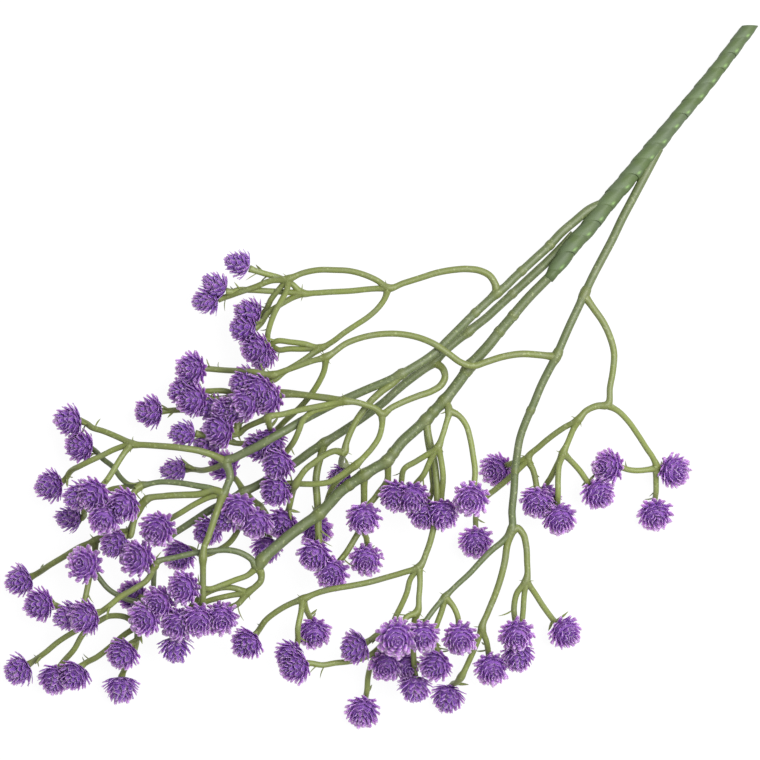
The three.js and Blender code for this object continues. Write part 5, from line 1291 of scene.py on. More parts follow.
def petals_of(spray, names, sizes, random):
    """The petals of some heads: random turns, lengths, leans and widths, then all the corners at
    once. A petal's middle line is a curve drawn by its root, its bend and its tip. Up to its
    layer's free share it is a little wider than the distance between petals, so they are one
    sheet. Then it narrows to its own width times PETAL_WIDTHS, and its section becomes a trough."""
    centres = spray.centres()
    rows = []
    for name in names:
        head = spray.heads[name]
        roll = random.uniform(0, 2 * math.pi)
        for layer, (count, root, bend, tip, _) in enumerate(LAYERS):
            turn = roll + layer * LAYER_TURN + random.uniform(-LAYER_STRAY, LAYER_STRAY)
            tilt = random.normal(0, PETAL_SPREAD["tilt"], 2)
            wave = random.uniform(0, 2 * math.pi)
            for k in range(count):
                angle = turn + k / count * 2 * math.pi
                lean = tilt[0] * math.cos(angle) + tilt[1] * math.sin(angle)
                lean += PETAL_SPREAD["wave"] * math.sin(3 * angle + wave)
                rows.append((
                    head["index"], layer, angle, root[0], root[1], bend[0] + lean / 2, bend[1],
                    tip[0] + lean,
                    tip[1] * random.normal(1, PETAL_SPREAD["length"]),
                    random.normal(0, PETAL_SPREAD["curl"]),
                    random.normal(0, PETAL_SPREAD["twist"]),
                    random.normal(1, PETAL_SPREAD["width"]),
                    random.normal(0, PETAL_SPREAD["sway"]),
                    random.random(),
                ))
    (head, layer, angle, root_h, root_r, bend_h, bend_r, tip_h, tip_r, curl, twist, width, sway,
     tint) = np.array(rows).T
    head = head.astype(int)
    size = spray.head_size[head]
    axis = spray.head_axis[head]
    helper = np.where(np.abs(axis[:, 2:]) < 0.9, [[0.0, 0.0, 1.0]], [[1.0, 0.0, 0.0]])
    first = np.cross(axis, helper)
    first /= np.linalg.norm(first, axis=1, keepdims=True)
    second = np.cross(axis, first)

    part = PETAL_STATIONS
    layer_rows = np.array([(row[0], row[4]) for row in LAYERS])[layer.astype(int)]
    petals_round, free_from = layer_rows[:, :1], layer_rows[:, 1:]
    free = np.maximum(0, (part - free_from) / (1 - free_from))
    neck = np.clip((part - free_from) / PETAL_NECK, 0, 1)
    start, middle, end = (1 - part) ** 2, 2 * part * (1 - part), part**2

    def blend(a, b, c):
        """A quadratic curve's value for each petal at each station."""
        return a[:, None] * start + b[:, None] * middle + c[:, None] * end

    height = blend(root_h, bend_h, tip_h) + curl[:, None] * free**2
    reach = blend(root_r, bend_r, tip_r) * size[:, None]
    turned = angle[:, None] + sway[:, None] * free
    out = (
        first[:, None] * np.cos(turned)[..., None] + second[:, None] * np.sin(turned)[..., None]
    )
    path = centres[head][:, None] + axis[:, None] * height[..., None] + out * reach[..., None]
    along = np.gradient(path, axis=1)
    along /= np.linalg.norm(along, axis=2, keepdims=True)
    side = np.cross(axis[:, None], out)
    side -= along * np.sum(side * along, axis=2, keepdims=True)
    side /= np.linalg.norm(side, axis=2, keepdims=True)
    up = np.cross(along, side)
    lean = (twist[:, None] * free**2)[..., None]
    side, up = side * np.cos(lean) + up * np.sin(lean), up * np.cos(lean) - side * np.sin(lean)
    sheet = 2 * reach * np.sin(math.pi / petals_round) * SHEET_OVERLAP
    petal = PETAL_WIDTHS * sizes["petal_width"] * width[:, None] * size[:, None]
    wide = sheet + (np.minimum(petal, WIDEST_PETAL * sheet) - sheet) * neck
    across = PETAL_SECTION[:, 0]
    lift = PETAL_SECTION[:, 1]
    thin = sizes["petal_thickness"] * np.interp(part, *PETAL_THINNING)
    trough = PETAL_TROUGH * neck[..., None] * across**2
    corners = (
        path[:, :, None]
        + side[:, :, None] * (wide[..., None] / 2 * across)[..., None]
        + up[:, :, None] * (thin[:, None] * lift + wide[..., None] * trough)[..., None]
    )
    return corners, layer, tint


def add_core(pile, spray, head):
    """The fused middles of one head's discs: a closed body turned about the head's axis."""
    axis = spray.head_axis[head]
    heights, radii = np.array(CORE)[1:-1].T
    first = square_to(axis, 0)
    angle = np.arange(CORE_SIDES) / CORE_SIDES * 2 * math.pi
    out = first * np.cos(angle)[:, None] + np.cross(axis, first) * np.sin(angle)[:, None]
    rings = (
        spray.centres()[head] + axis * heights[:, None, None]
        + out * (radii * spray.head_size[head])[:, None, None]
    )
    poles = spray.centres()[head] + axis * np.array([CORE[0][0], CORE[-1][0]])[:, None]
    corners = np.vstack([rings.reshape(-1, 3), poles])
    quads, triangles = ring_faces(len(radii), CORE_SIDES)
    uv = np.tile([0.0, CORE_SHARE], (len(corners), 1))
    pile.add(corners, quads, triangles, uv, np.tile(CORE_TONE, (len(corners), 1)))


def build_heads(spray, names, node, sizes, material):
    """The heads of one CAD node as one piece: many thin petals, and a core in each head. A petal's tone
    holds its tint, its layer and how far a corner lies towards its front, which sets the painted shade
    on its back."""
    random = np.random.default_rng(SEED + 7 * spray.heads[names[0]]["index"])
    corners, layer, tint = petals_of(spray, names, sizes, random)
    petals, stations, sides = corners.shape[:3]
    places = corners.reshape(-1, 3)
    base = np.arange(petals)[:, None, None] * stations * sides
    row = np.arange(stations - 1)[None, :, None] * sides
    i = np.arange(sides)[None, None]
    nxt = (i + 1) % sides
    quads = np.stack(np.broadcast_arrays(
        base + row + i, base + row + nxt, base + row + sides + nxt, base + row + sides + i
    ), axis=-1).reshape(-1, 4)
    first = base[:, 0, 0, None]
    last = first + (stations - 1) * sides
    fan = np.array([[0, k, k + 1] for k in range(1, sides - 1)])
    triangles = np.vstack([
        (first[:, None] + fan[None, :, ::-1]).reshape(-1, 3),
        (last[:, None] + fan[None]).reshape(-1, 3),
    ])
    share = np.broadcast_to(PETAL_STATIONS[None, :, None], corners.shape[:3]).ravel()
    across = np.broadcast_to(PETAL_SECTION[None, None, :, 0], corners.shape[:3]).ravel()
    per_petal = np.repeat(
        np.column_stack([tint, layer / (len(LAYERS) - 1), np.zeros(petals)]), stations * sides, axis=0
    )
    per_petal[:, 2] = np.broadcast_to(PETAL_SECTION[:, 1] + 0.5, corners.shape[:3]).ravel()
    pile = Pile()
    pile.add(places, quads, triangles, np.column_stack([across, share]), per_petal)
    for name in names:
        add_core(pile, spray, spray.heads[name]["index"])
    return pile.piece(f"petals_{node.removeprefix('flower_')}", material, "petals", [node])


def stem_knots():
    """The main stem's route: typed places at heights drawn straight between the joints that
    have one, and the stem's radius at each."""
    named = [isinstance(at, str) for at, _ in STEM_ROUTE]
    flat = np.array([JOINTS[at][:2] if name else at for (at, _), name in zip(STEM_ROUTE, named)])
    lengths = np.append(0, np.cumsum(np.linalg.norm(np.diff(flat, axis=0), axis=1)))
    heights = [JOINTS[at][2] for (at, _), name in zip(STEM_ROUTE, named) if name]
    z = np.interp(lengths, lengths[np.array(named)], heights)
    return place(flat[:, 0], flat[:, 1], z), np.array([radius for _, radius in STEM_ROUTE])


def cut_shift(places, along):
    """How far each corner moves along the stem to reach the slanting plane of the cut."""
    edge = place(JOINTS["cut"][0], CUT_V, JOINTS["cut"][2])
    normal = facing(0, -1, 0)
    return -((places - edge) @ normal) / (along @ normal)


def crease(kind, angle, at, phase):
    """Shallow folds that wind round the stem: a sine of the turn round it and the way along it."""
    rise, count, rate = kind
    return rise * np.sin(count * angle + rate * at[:, None] + phase)


def build_tape(sizes, material):
    """The wound tape: rings tilted as the turns are, whose radius swells along each turn and steps back
    in at the lap, with creases and a small hump on each turn. The first ring lies on the cut, round a
    hole with a flat floor. The tone holds the swell, which darkens each lap as painted shade, the hump,
    which carries a painted highlight, and a random share of each turn."""
    random = np.random.default_rng(SEED)
    knots, knot_radii = stem_knots()
    curve, along = curve_through(knots, TAPE_STEP)
    lengths = np.append(0, np.cumsum(np.linalg.norm(np.diff(knots, axis=0), axis=1)))
    total = along[-1]
    turns = int(math.ceil(total / TAPE_PITCH))
    row_turn = np.repeat(np.arange(turns), len(TAPE_PARTS))
    at = (np.arange(turns)[:, None] + TAPE_PARTS).ravel() * TAPE_PITCH
    keep = at < total
    at, row_turn, row_part = at[keep], row_turn[keep], np.tile(TAPE_PARTS, turns)[keep]
    swell = np.interp(row_part, TAPE_PARTS, TAPE_SWELL)
    turn_scale = random.uniform(*TURN_SCALE, turns + 1)
    turn_slant = random.uniform(*TURN_SLANT, turns + 1)
    middle = np.column_stack([np.interp(at, along, curve[:, k]) for k in range(3)])
    way, side, other = frames_of(middle)
    angle = np.arange(TAPE_SIDES) / TAPE_SIDES * 2 * math.pi
    bulge = sizes["tape_bulge"] * swell * turn_scale[row_turn]
    bulge *= np.minimum(1, (total - at) / TAPE_PITCH)
    creases = crease(LONG_CREASE, angle, at, 0) + crease(SHORT_CREASE, angle, at, row_turn[:, None])
    radius = (np.interp(at, lengths, knot_radii) + bulge)[:, None] + creases
    pip_way = facing(*PIP_FACES)
    pip_angle = math.atan2(np.mean(other @ pip_way), np.mean(side @ pip_way))
    turned = np.angle(np.exp(1j * (angle[None] - pip_angle)))
    pip = bump((row_part[:, None] - PIP_PART) * TAPE_PITCH, PIP_SIZE) * bump(turned * radius, PIP_SIZE)
    radius = radius + PIP_RISE * pip
    ring = (
        side[:, None] * np.cos(angle)[None, :, None] + other[:, None] * np.sin(angle)[None, :, None]
    )
    places = middle[:, None] + ring * radius[..., None]
    slant = turn_slant[row_turn][:, None] * np.cos(angle)
    fade = np.minimum(1, at / TAPE_END_TURN) * np.minimum(1, (total - at) / TAPE_END_TURN)
    places = places + way[:, None] * (slant * fade[:, None])[..., None]
    reach = np.maximum(0, 1 - at / TAPE_END_TURN)
    start_shift = cut_shift(places[0], way[0])
    places = places + way[0] * (start_shift[None] * reach[:, None])[..., None]

    rows = len(at)
    corners = places.reshape(-1, 3)
    sides = TAPE_SIDES
    quads, _ = ring_faces(rows, sides)
    hole = middle[0] + ring[0] * (WIRE_RADIUS + HOLE_GAP)
    hole = hole + way[0] * cut_shift(hole, way[0])[:, None]
    deep = hole + way[0] * HOLE_DEPTH
    count = len(corners)
    more = np.vstack([hole, deep, deep.mean(axis=0)[None], middle[-1:]])
    i = np.arange(sides)
    nxt = (i + 1) % sides
    cap = np.column_stack([i, count + i, count + nxt, nxt])
    wall = np.column_stack([count + i, count + sides + i, count + sides + nxt, count + nxt])
    floor = np.column_stack([count + sides + i, np.full(sides, count + 2 * sides), count + sides + nxt])
    last = (rows - 1) * sides
    end = np.column_stack([last + i, last + nxt, np.full(sides, count + 2 * sides + 1)])
    tone = np.stack(np.broadcast_arrays(
        swell[:, None], pip, random.random(turns + 1)[row_turn][:, None]
    ), axis=-1).reshape(-1, 3)
    tone = np.vstack([tone, np.tile([0.0, 0.0, 0.5], (len(more), 1))])
    round_stem = angle[None] * TAPE_UV_RADIUS
    uv = np.stack(np.broadcast_arrays(round_stem, at[:, None]), axis=-1).reshape(-1, 2)
    uv = np.vstack([uv, np.zeros((len(more), 2))])
    pile = Pile()
    pile.add(
        np.vstack([corners, more]), np.vstack([quads, cap, wall]), np.vstack([floor, end]), uv, tone
    )
    return pile.piece("wound_tape", material, "floral_tape", ["stem_tape"])


def build_wire(material):
    """The cut wire: a round rod, chamfered at the cut, from there back into the stem."""
    knots, _ = stem_knots()
    way = knots[1] - knots[0]
    way /= np.linalg.norm(way)
    path = knots[0] + way * np.array(WIRE_PLACES)[:, None]
    radii = np.full(len(path), WIRE_RADIUS)
    radii[0] = WIRE_TIP_RADIUS
    corners, quads, triangles, ring_of = tube(path, radii, WIRE_SIDES)
    near = np.isin(ring_of, [0, 1])
    corners[near] += way * cut_shift(corners[near], way)[:, None]
    corners[ring_of == 1] += way * WIRE_CHAMFER
    pile = Pile()
    pile.add(corners, quads, triangles, np.zeros((len(corners), 2)), np.zeros((len(corners), 3)))
    return pile.piece("cut_wire", material, "wire", ["stem_wire"])


def srgb(text):
    """An sRGB hex colour as linear red, green, blue and 1."""
    parts = [int(text[i:i + 2], 16) / 255 for i in (1, 3, 5)]
    linear = [part / 12.92 if part <= 0.04045 else ((part + 0.055) / 1.055) ** 2.4 for part in parts]
    return (*linear, 1.0)


def add_node(tree, kind, settings=None, links=None):
    """A node with its settings, by attribute or input name, and its links, by input name."""
    node = tree.nodes.new(kind)
    for name, value in (settings or {}).items():
        if isinstance(name, str) and hasattr(node, name):
            setattr(node, name, value)
        else:
            node.inputs[name].default_value = value
    for name, socket in (links or {}).items():
        tree.links.new(socket, node.inputs[name])
    return node


def scale_of(size):
    """A pattern's scale: how many patches of a size in millimetres lie along one metre."""
    return 1 / (size * MM)


def new_material(name):
    """A material with its node tree and its shader."""
    material = bpy.data.materials.new(name)
    material.use_nodes = True
    tree = material.node_tree
    return material, tree, tree.nodes["Principled BSDF"]


def ramp(tree, factor, stops):
    """A colour ramp over a factor, with (place, hex colour) stops."""
    node = add_node(tree, "ShaderNodeValToRGB", links={"Fac": factor})
    elements = node.color_ramp.elements
    while len(elements) < len(stops):
        elements.new(0.5)
    for element, (at, colour) in zip(elements, stops):
        element.position = at
        element.color = srgb(colour)
    return node.outputs["Color"]


def mix(tree, factor, first, second, kind="MIX"):
    """Two colours mixed by a factor: a socket or a number."""
    node = tree.nodes.new("ShaderNodeMix")
    node.data_type = "RGBA"
    node.blend_type = kind
    for name, value in (("Factor_Float", factor), ("A_Color", first), ("B_Color", second)):
        socket = next(s for s in node.inputs if s.identifier == name)
        if isinstance(value, bpy.types.NodeSocket):
            tree.links.new(value, socket)
        else:
            socket.default_value = srgb(value) if isinstance(value, str) else value
    return next(s for s in node.outputs if s.identifier == "Result_Color")


def moulded_petal(settings):
    """Dyed polyethylene petals, thin enough to let light through: deep violet in the cups, paler and
    pinker at the tips, with a soft satin surface. The petals' backs are darkened as painted shade, and
    their edges lightened as a painted highlight."""
    material, tree, shader = new_material("moulded_polyethylene_petal")
    uv = add_node(tree, "ShaderNodeUVMap", {"uv_map": "along"})
    split = add_node(tree, "ShaderNodeSeparateXYZ", links={"Vector": uv.outputs["UV"]})
    tone = add_node(tree, "ShaderNodeAttribute", {"attribute_name": "tone"})
    parts = add_node(tree, "ShaderNodeSeparateColor", links={"Color": tone.outputs["Color"]})
    along = ramp(tree, split.outputs["Y"], (
        (0.0, settings.petal_deep), (0.65, settings.petal_middle), (0.92, settings.petal_light),
        (1.0, settings.petal_tip),
    ))
    # Petal edges are lightened towards the light colour: a painted highlight.
    edge = add_node(tree, "ShaderNodeMath", {"operation": "ABSOLUTE"}, {0: split.outputs["X"]})
    painted_edge_highlight = add_node(
        tree, "ShaderNodeMapRange", {"From Min": 0.5, "From Max": 1.0, "To Max": 0.5},
        {"Value": edge.outputs[0]},
    )
    along = mix(tree, painted_edge_highlight.outputs["Result"], along, settings.petal_light)
    dark = add_node(
        tree, "ShaderNodeMapRange", {"To Min": 0.25, "To Max": 0.0}, {"Value": parts.outputs["Red"]}
    )
    varied = mix(tree, dark.outputs["Result"], along, settings.petal_deep)
    # Each petal's back is darkened towards the darker back colour: painted shade, where the layers
    # shade each other.
    back = add_node(
        tree, "ShaderNodeMapRange", {"To Min": 0.95, "To Max": 0.0}, {"Value": parts.outputs["Blue"]}
    )
    varied = mix(tree, back.outputs["Result"], varied, settings.painted_petal_back_shade)
    inner = add_node(
        tree, "ShaderNodeMapRange", {"From Min": 0.2, "From Max": 1.0, "To Max": 0.15},
        {"Value": parts.outputs["Green"]},
    )
    varied = mix(tree, inner.outputs["Result"], varied, settings.petal_deep)
    coordinates = add_node(tree, "ShaderNodeTexCoord")
    mottle = add_node(
        tree, "ShaderNodeTexNoise", {"Scale": scale_of(DYE_PATCH), "Detail": 3.0},
        {"Vector": coordinates.outputs["Object"]},
    )
    pink = add_node(
        tree, "ShaderNodeMapRange", {"From Min": 0.5, "From Max": 0.75, "To Max": 0.35},
        {"Value": mottle.outputs["Fac"]},
    )
    colour = mix(tree, pink.outputs["Result"], varied, settings.petal_pink)
    tree.links.new(colour, shader.inputs["Base Color"])
    shader.inputs["Roughness"].default_value = 0.62
    shader.inputs["Specular IOR Level"].default_value = 0.25
    shader.inputs["IOR"].default_value = 1.5
    shader.inputs["Subsurface Weight"].default_value = 0.8
    shader.inputs["Subsurface Radius"].default_value = (1.0, 0.7, 1.0)
    shader.inputs["Subsurface Scale"].default_value = PETAL_GLOW_DEPTH * MM
    return material


def moulded_stem(settings):
    """Moulded polyethylene stems: olive green, yellower on the fine twigs and greener at the
    forks, with a satin skin that is a little uneven from the mould."""
    material, tree, shader = new_material("moulded_polyethylene_stem")
    tone = add_node(tree, "ShaderNodeAttribute", {"attribute_name": "tone"})
    parts = add_node(tree, "ShaderNodeSeparateColor", links={"Color": tone.outputs["Color"]})
    base = ramp(tree, parts.outputs["Red"], (
        (0.0, settings.stem_branch), (0.7, settings.stem_sprig), (1.0, settings.stem_twig),
    ))
    fork = add_node(
        tree, "ShaderNodeMapRange", {"To Max": 0.6}, {"Value": parts.outputs["Green"]}
    )
    forked = mix(tree, fork.outputs["Result"], base, settings.stem_fork)
    coordinates = add_node(tree, "ShaderNodeTexCoord")
    mottle = add_node(
        tree, "ShaderNodeTexNoise", {"Scale": scale_of(STEM_BLOOM_PATCH), "Detail": 4.0},
        {"Vector": coordinates.outputs["Object"]},
    )
    grey = add_node(
        tree, "ShaderNodeMapRange", {"From Min": 0.45, "From Max": 0.75, "To Max": 0.5},
        {"Value": mottle.outputs["Fac"]},
    )
    mottled = mix(tree, grey.outputs["Result"], forked, settings.stem_grey)
    specks = add_node(
        tree, "ShaderNodeTexNoise", {"Scale": scale_of(MOULD_SPECK), "Detail": 1.0},
        {"Vector": coordinates.outputs["Object"]},
    )
    speck = add_node(
        tree, "ShaderNodeMapRange", {"From Min": 0.62, "From Max": 0.72, "To Max": 0.45},
        {"Value": specks.outputs["Fac"]},
    )
    colour = mix(tree, speck.outputs["Result"], mottled, settings.stem_speck)
    tree.links.new(colour, shader.inputs["Base Color"])
    fine = add_node(
        tree, "ShaderNodeTexNoise", {"Scale": scale_of(MOULD_GRAIN), "Detail": 2.0},
        {"Vector": coordinates.outputs["Object"]},
    )
    bumps = add_node(
        tree, "ShaderNodeBump", {"Strength": 0.25, "Distance": GRAIN_DEPTH * MM},
        {"Height": fine.outputs["Fac"]},
    )
    tree.links.new(bumps.outputs["Normal"], shader.inputs["Normal"])
    shader.inputs["Roughness"].default_value = 0.5
    shader.inputs["IOR"].default_value = 1.5
    shader.inputs["Subsurface Weight"].default_value = 0.1
    shader.inputs["Subsurface Radius"].default_value = (0.6, 1.0, 0.3)
    shader.inputs["Subsurface Scale"].default_value = STEM_GLOW_DEPTH * MM
    return material


def waxed_tape(settings):
    """Waxed crepe paper tape, wound tight: dull green, with fine creases across its width. It is darker
    and greyer in each lap, as painted shade, and each turn carries a small bright spot, a painted
    highlight."""
    material, tree, shader = new_material("waxed_crepe_tape")
    tone = add_node(tree, "ShaderNodeAttribute", {"attribute_name": "tone"})
    parts = add_node(tree, "ShaderNodeSeparateColor", links={"Color": tone.outputs["Color"]})
    # The colour follows the swell: darker in each lap's crease, a painted shade, and lighter where the
    # turn swells most.
    base = ramp(tree, parts.outputs["Red"], (
        (0.0, settings.tape_painted_lap_shade), (0.5, settings.tape), (1.0, settings.tape_edge),
    ))
    coordinates = add_node(tree, "ShaderNodeTexCoord")
    mottle = add_node(
        tree, "ShaderNodeTexNoise", {"Scale": scale_of(WAX_PATCH), "Detail": 5.0},
        {"Vector": coordinates.outputs["Object"]},
    )
    greyed = add_node(
        tree, "ShaderNodeMapRange", {"From Min": 0.4, "From Max": 0.7, "To Max": 0.7},
        {"Value": mottle.outputs["Fac"]},
    )
    mottled = mix(tree, greyed.outputs["Result"], base, settings.tape_grey)
    # Each turn's pip is coloured towards the bright spot colour: a painted highlight.
    colour = mix(tree, parts.outputs["Green"], mottled, settings.tape_painted_highlight)
    tree.links.new(colour, shader.inputs["Base Color"])
    uv = add_node(tree, "ShaderNodeUVMap", {"uv_map": "along"})
    # The tape's UV map is in millimetres.
    round_stem, along_stem = CREPE_CREASE
    stretched = add_node(
        tree, "ShaderNodeMapping", {"Scale": (1 / round_stem, 1 / along_stem, 1.0)},
        {"Vector": uv.outputs["UV"]},
    )
    crepe = add_node(
        tree, "ShaderNodeTexNoise", {"Scale": 1.0, "Detail": 4.0},
        {"Vector": stretched.outputs["Vector"]},
    )
    bumps = add_node(
        tree, "ShaderNodeBump", {"Strength": 0.5, "Distance": CREPE_DEPTH * MM},
        {"Height": crepe.outputs["Fac"]},
    )
    tree.links.new(bumps.outputs["Normal"], shader.inputs["Normal"])
    shader.inputs["Roughness"].default_value = 0.55
    shader.inputs["IOR"].default_value = 1.45
    return material


def cut_steel(settings):
    """Cut steel wire: dull grey with a slight sheen and fine marks from the cutters."""
    material, tree, shader = new_material("cut_steel_wire")
    coordinates = add_node(tree, "ShaderNodeTexCoord")
    marks = add_node(
        tree, "ShaderNodeTexNoise", {"Scale": scale_of(CUTTER_MARK), "Detail": 3.0},
        {"Vector": coordinates.outputs["Object"]},
    )
    colour = ramp(tree, marks.outputs["Fac"], ((0.3, settings.wire_mark), (0.7, settings.wire)))
    tree.links.new(colour, shader.inputs["Base Color"])
    shader.inputs["Metallic"].default_value = 1.0
    shader.inputs["Roughness"].default_value = 0.4
    return material


def painted_floor(settings):
    """Matt white paint, as a studio table."""
    material, _, shader = new_material("matt_white_floor")
    shader.inputs["Base Color"].default_value = srgb(settings.floor)
    shader.inputs["Roughness"].default_value = 0.9
    shader.inputs["Emission Color"].default_value = (1.0, 1.0, 1.0, 1.0)
    shader.inputs["Emission Strength"].default_value = FLOOR_GLOW
    return material


def looking(at, back, up):
    """A placement whose own Z points back from what it looks at and whose Y is as near as can be
    to up."""
    right = np.cross(up, back)
    right /= np.linalg.norm(right)
    matrix = np.eye(4)
    matrix[:3] = np.column_stack([right, np.cross(back, right), back, at])
    return Matrix(matrix.tolist())


def colour_of(name, description, default):
    """A colour property that holds an sRGB hex value."""
    return bpy.props.StringProperty(name=name, description=description, default=default)


def size_of(name, description, millimetres):
    """A length property, whose default is given in millimetres."""
    return bpy.props.FloatProperty(
        name=name, description=description, default=millimetres * MM, precision=5, unit="LENGTH"
    )


class SpraySizes(bpy.types.PropertyGroup):
    petal_width: size_of("Petal width", "Width of a petal where it is free", 1.62)
    petal_thickness: size_of("Petal thickness", "Thickness of a petal at its root", 0.3)
    leaflet_width: size_of("Leaflet width", "Greatest width of a leaflet", 1.3)
    leaflet_thickness: size_of("Leaflet thickness", "Greatest thickness of a leaflet", 0.45)
    collar_rise: size_of("Collar rise", "How far a branch swells at its joints", 0.5)
    knuckle_rise: size_of("Knuckle rise", "How far a sprig or twig swells at its forks", 0.5)
    tape_bulge: size_of("Tape bulge", "How far a turn of the tape swells", 0.38)

    def in_millimetres(self):
        """The sizes as typed: a property holds about seven digits, so the rest is rounded off."""
        return {key: round(getattr(self, key) / MM, 6) for key in SpraySizes.__annotations__}


class SprayColours(bpy.types.PropertyGroup):
    petal_deep: colour_of("Petal root", "Petal colour deep in the cups", "#643A90")
    petal_middle: colour_of("Petal middle", "Petal colour half way out", "#885CA8")
    petal_light: colour_of("Petal light", "Petal colour near the tip", "#B88CCA")
    petal_tip: colour_of("Petal tip", "Petal colour at the very tip", "#E0C0E6")
    # Painted shade on the petals' backs, where the layers shade each other.
    painted_petal_back_shade: colour_of("Petal back", "Darker colour of a petal's back", "#5E3A86")
    petal_pink: colour_of("Petal pink", "Pinker patches of the dye", "#B986C2")
    stem_branch: colour_of("Branch", "Colour of the branch stems", "#545F3A")
    stem_sprig: colour_of("Sprig", "Colour of the side sprigs", "#68713A")
    stem_twig: colour_of("Twig", "Colour of the fine twigs", "#727C40")
    stem_fork: colour_of("Fork", "Colour at the forks", "#5F672E")
    stem_grey: colour_of("Stem bloom", "Greyer patches of the stems", "#6B7154")
    stem_speck: colour_of("Stem specks", "Pale specks of mould dust", "#97A071")
    tape: colour_of("Tape", "Colour of the tape", "#48582F")
    # Painted shade in each lap's crease.
    tape_painted_lap_shade: colour_of("Tape under a lap", "Tape colour where a turn starts", "#455433")
    tape_edge: colour_of("Tape edge", "Tape colour at a turn's edge", "#4E5E3A")
    tape_grey: colour_of("Tape wax", "Greyer waxy patches of the tape", "#4F5A46")
    # Painted highlight on each turn's pip.
    tape_painted_highlight: colour_of("Tape glint", "Bright spot on each turn", "#7C9A5E")
    wire: colour_of("Wire", "Colour of the cut wire", "#9A9C96")
    wire_mark: colour_of("Wire marks", "Colour of the cutter's marks", "#6E706A")
    floor: colour_of("Floor", "Colour of the table", "#484848")


class SprayStage(bpy.types.PropertyGroup):
    key_power: bpy.props.FloatProperty(
        name="Key light", description="Power of the large light", default=14.0, unit="POWER"
    )
    key_size: bpy.props.FloatProperty(
        name="Key light size", description="Width of the large light", default=0.7, unit="LENGTH"
    )
    sky: bpy.props.FloatProperty(
        name="Sky", description="Strength of the light from all round", default=0.66
    )
    floor_size: bpy.props.FloatProperty(
        name="Floor size", description="Width of the table", default=6.0, unit="LENGTH"
    )


class GYPSO_OT_petals(bpy.types.Operator):
    """Build every flower head's petals, one piece for each CAD node of heads"""
    bl_idname = "gypso.petals"
    bl_label = "Flower heads"

    def execute(self, context):
        spray = layout()
        sizes = context.scene.gypso_sizes.in_millimetres()
        material = moulded_petal(context.scene.gypso_colours)
        groups = {}
        for name, head in spray.heads.items():
            groups.setdefault(head["group"], []).append(name)
        for names in groups.values():
            build_heads(spray, names, f"flower_heads_{names[0]}", sizes, material)
        return {"FINISHED"}


class GYPSO_OT_stems(bpy.types.Operator):
    """Build the four moulded branch stems with their sprigs, twigs and leaflets"""
    bl_idname = "gypso.stems"
    bl_label = "Branch stems"

    def execute(self, context):
        spray = layout()
        sizes = context.scene.gypso_sizes.in_millimetres()
        material = moulded_stem(context.scene.gypso_colours)
        for body in BRANCHES:
            build_branch(spray, body, sizes, material)
        return {"FINISHED"}


class GYPSO_OT_main_stem(bpy.types.Operator):
    """Build the tape-wound main stem and its cut wire"""
    bl_idname = "gypso.main_stem"
    bl_label = "Main stem"

    def execute(self, context):
        colours = context.scene.gypso_colours
        build_tape(context.scene.gypso_sizes.in_millimetres(), waxed_tape(colours))
        build_wire(cut_steel(colours))
        return {"FINISHED"}


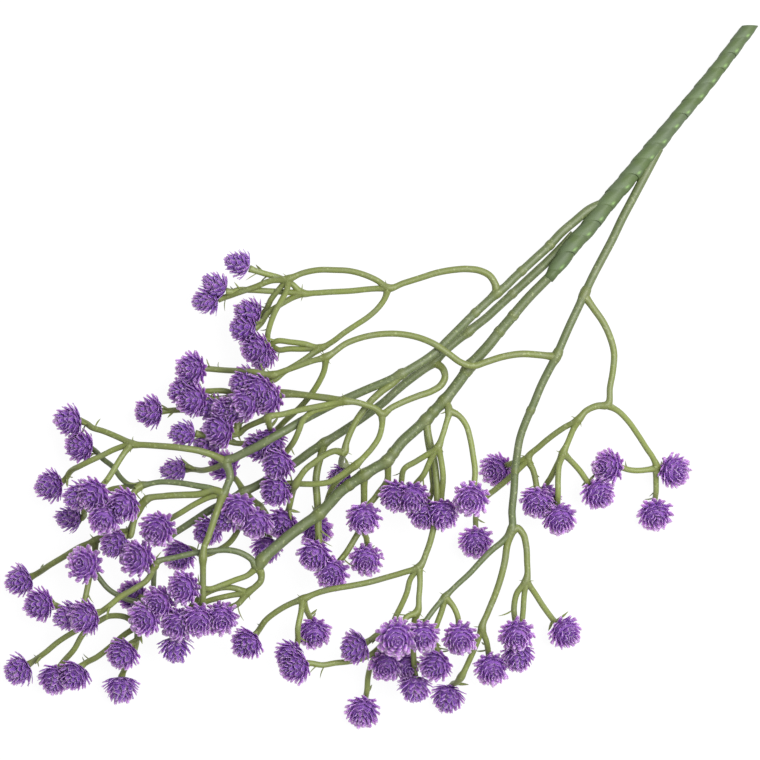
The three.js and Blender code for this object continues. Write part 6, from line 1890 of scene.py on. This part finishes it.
class GYPSO_OT_stage(bpy.types.Operator):
    """Set up the white table, the sky, the large soft light and the camera above it"""
    bl_idname = "gypso.stage"
    bl_label = "Stage"

    def execute(self, context):
        scene = context.scene
        stage = scene.gypso_stage
        half = stage.floor_size / 2
        mesh = bpy.data.meshes.new("table_top")
        corners = [(-half, -half, 0), (half, -half, 0), (half, half, 0), (-half, half, 0)]
        mesh.from_pydata(corners, [], [(0, 1, 2, 3)])
        mesh.materials.append(painted_floor(scene.gypso_colours))
        floor = bpy.data.objects.new("table_top", mesh)
        scene.collection.objects.link(floor)

        world = bpy.data.worlds.new("soft_sky")
        world.use_nodes = True
        background = world.node_tree.nodes["Background"]
        background.inputs["Color"].default_value = (1.0, 1.0, 1.0, 1.0)
        background.inputs["Strength"].default_value = stage.sky
        scene.world = world
        scene.view_settings.view_transform = "Standard"

        picture_right = facing(1, 0, 0)
        picture_up = facing(0, -1, 0)
        middle = place(CENTRE_U, CENTRE_V, 0)
        light = bpy.data.lights.new("large_soft_light", "AREA")
        light.energy = stage.key_power
        light.size = stage.key_size
        lamp = bpy.data.objects.new("large_soft_light", light)
        to_right, to_top, above = LIGHT_PLACE
        at = middle + (to_right * picture_right + to_top * picture_up) * EYE_HEIGHT
        at[2] = above * EYE_HEIGHT
        back = (at - middle) / np.linalg.norm(at - middle)
        lamp.matrix_world = looking(at * MM, back, picture_up)
        scene.collection.objects.link(lamp)

        camera = bpy.data.cameras.new("eye")
        camera.sensor_width = SENSOR_WIDTH
        camera.lens = camera.sensor_width * EYE_HEIGHT / (PICTURE_SIZE * PIXEL)
        camera.clip_start = 0.05
        camera.clip_end = 20
        eye = bpy.data.objects.new("eye", camera)
        over = middle.copy()
        over[2] = EYE_HEIGHT
        eye.matrix_world = looking(over * MM, np.array([0.0, 0.0, 1.0]), picture_up)
        scene.collection.objects.link(eye)
        scene.camera = eye
        return {"FINISHED"}


class GYPSO_PT_panel(bpy.types.Panel):
    """The spray's pieces in the 3D view's sidebar"""
    bl_idname = "GYPSO_PT_panel"
    bl_label = "Gypsophila spray"
    bl_space_type = "VIEW_3D"
    bl_region_type = "UI"
    bl_category = "Gypsophila"

    def draw(self, context):
        for operator in OPERATORS:
            self.layout.operator(operator.bl_idname)
        for kind, group in SETTINGS.items():
            box = self.layout.box()
            for key in group.__annotations__:
                box.prop(getattr(context.scene, kind), key)


OPERATORS = (GYPSO_OT_stage, GYPSO_OT_main_stem, GYPSO_OT_stems, GYPSO_OT_petals)
SETTINGS = {"gypso_sizes": SpraySizes, "gypso_colours": SprayColours, "gypso_stage": SprayStage}
CLASSES = (*SETTINGS.values(), *OPERATORS, GYPSO_PT_panel)


@functools.cache
def layout():
    """The settled spray, worked out once."""
    return Spray()


def register():
    """Register the settings, the operators and the panel."""
    for item in CLASSES:
        bpy.utils.register_class(item)
    for name, group in SETTINGS.items():
        setattr(bpy.types.Scene, name, bpy.props.PointerProperty(type=group))


def unregister():
    """Take them away again, last first."""
    for name in SETTINGS:
        delattr(bpy.types.Scene, name)
    for item in reversed(CLASSES):
        bpy.utils.unregister_class(item)


def main():
    register()
    for operator in OPERATORS:
        group, name = operator.bl_idname.split(".")
        getattr(getattr(bpy.ops, group), name)()


if __name__ == "__main__":
    main()
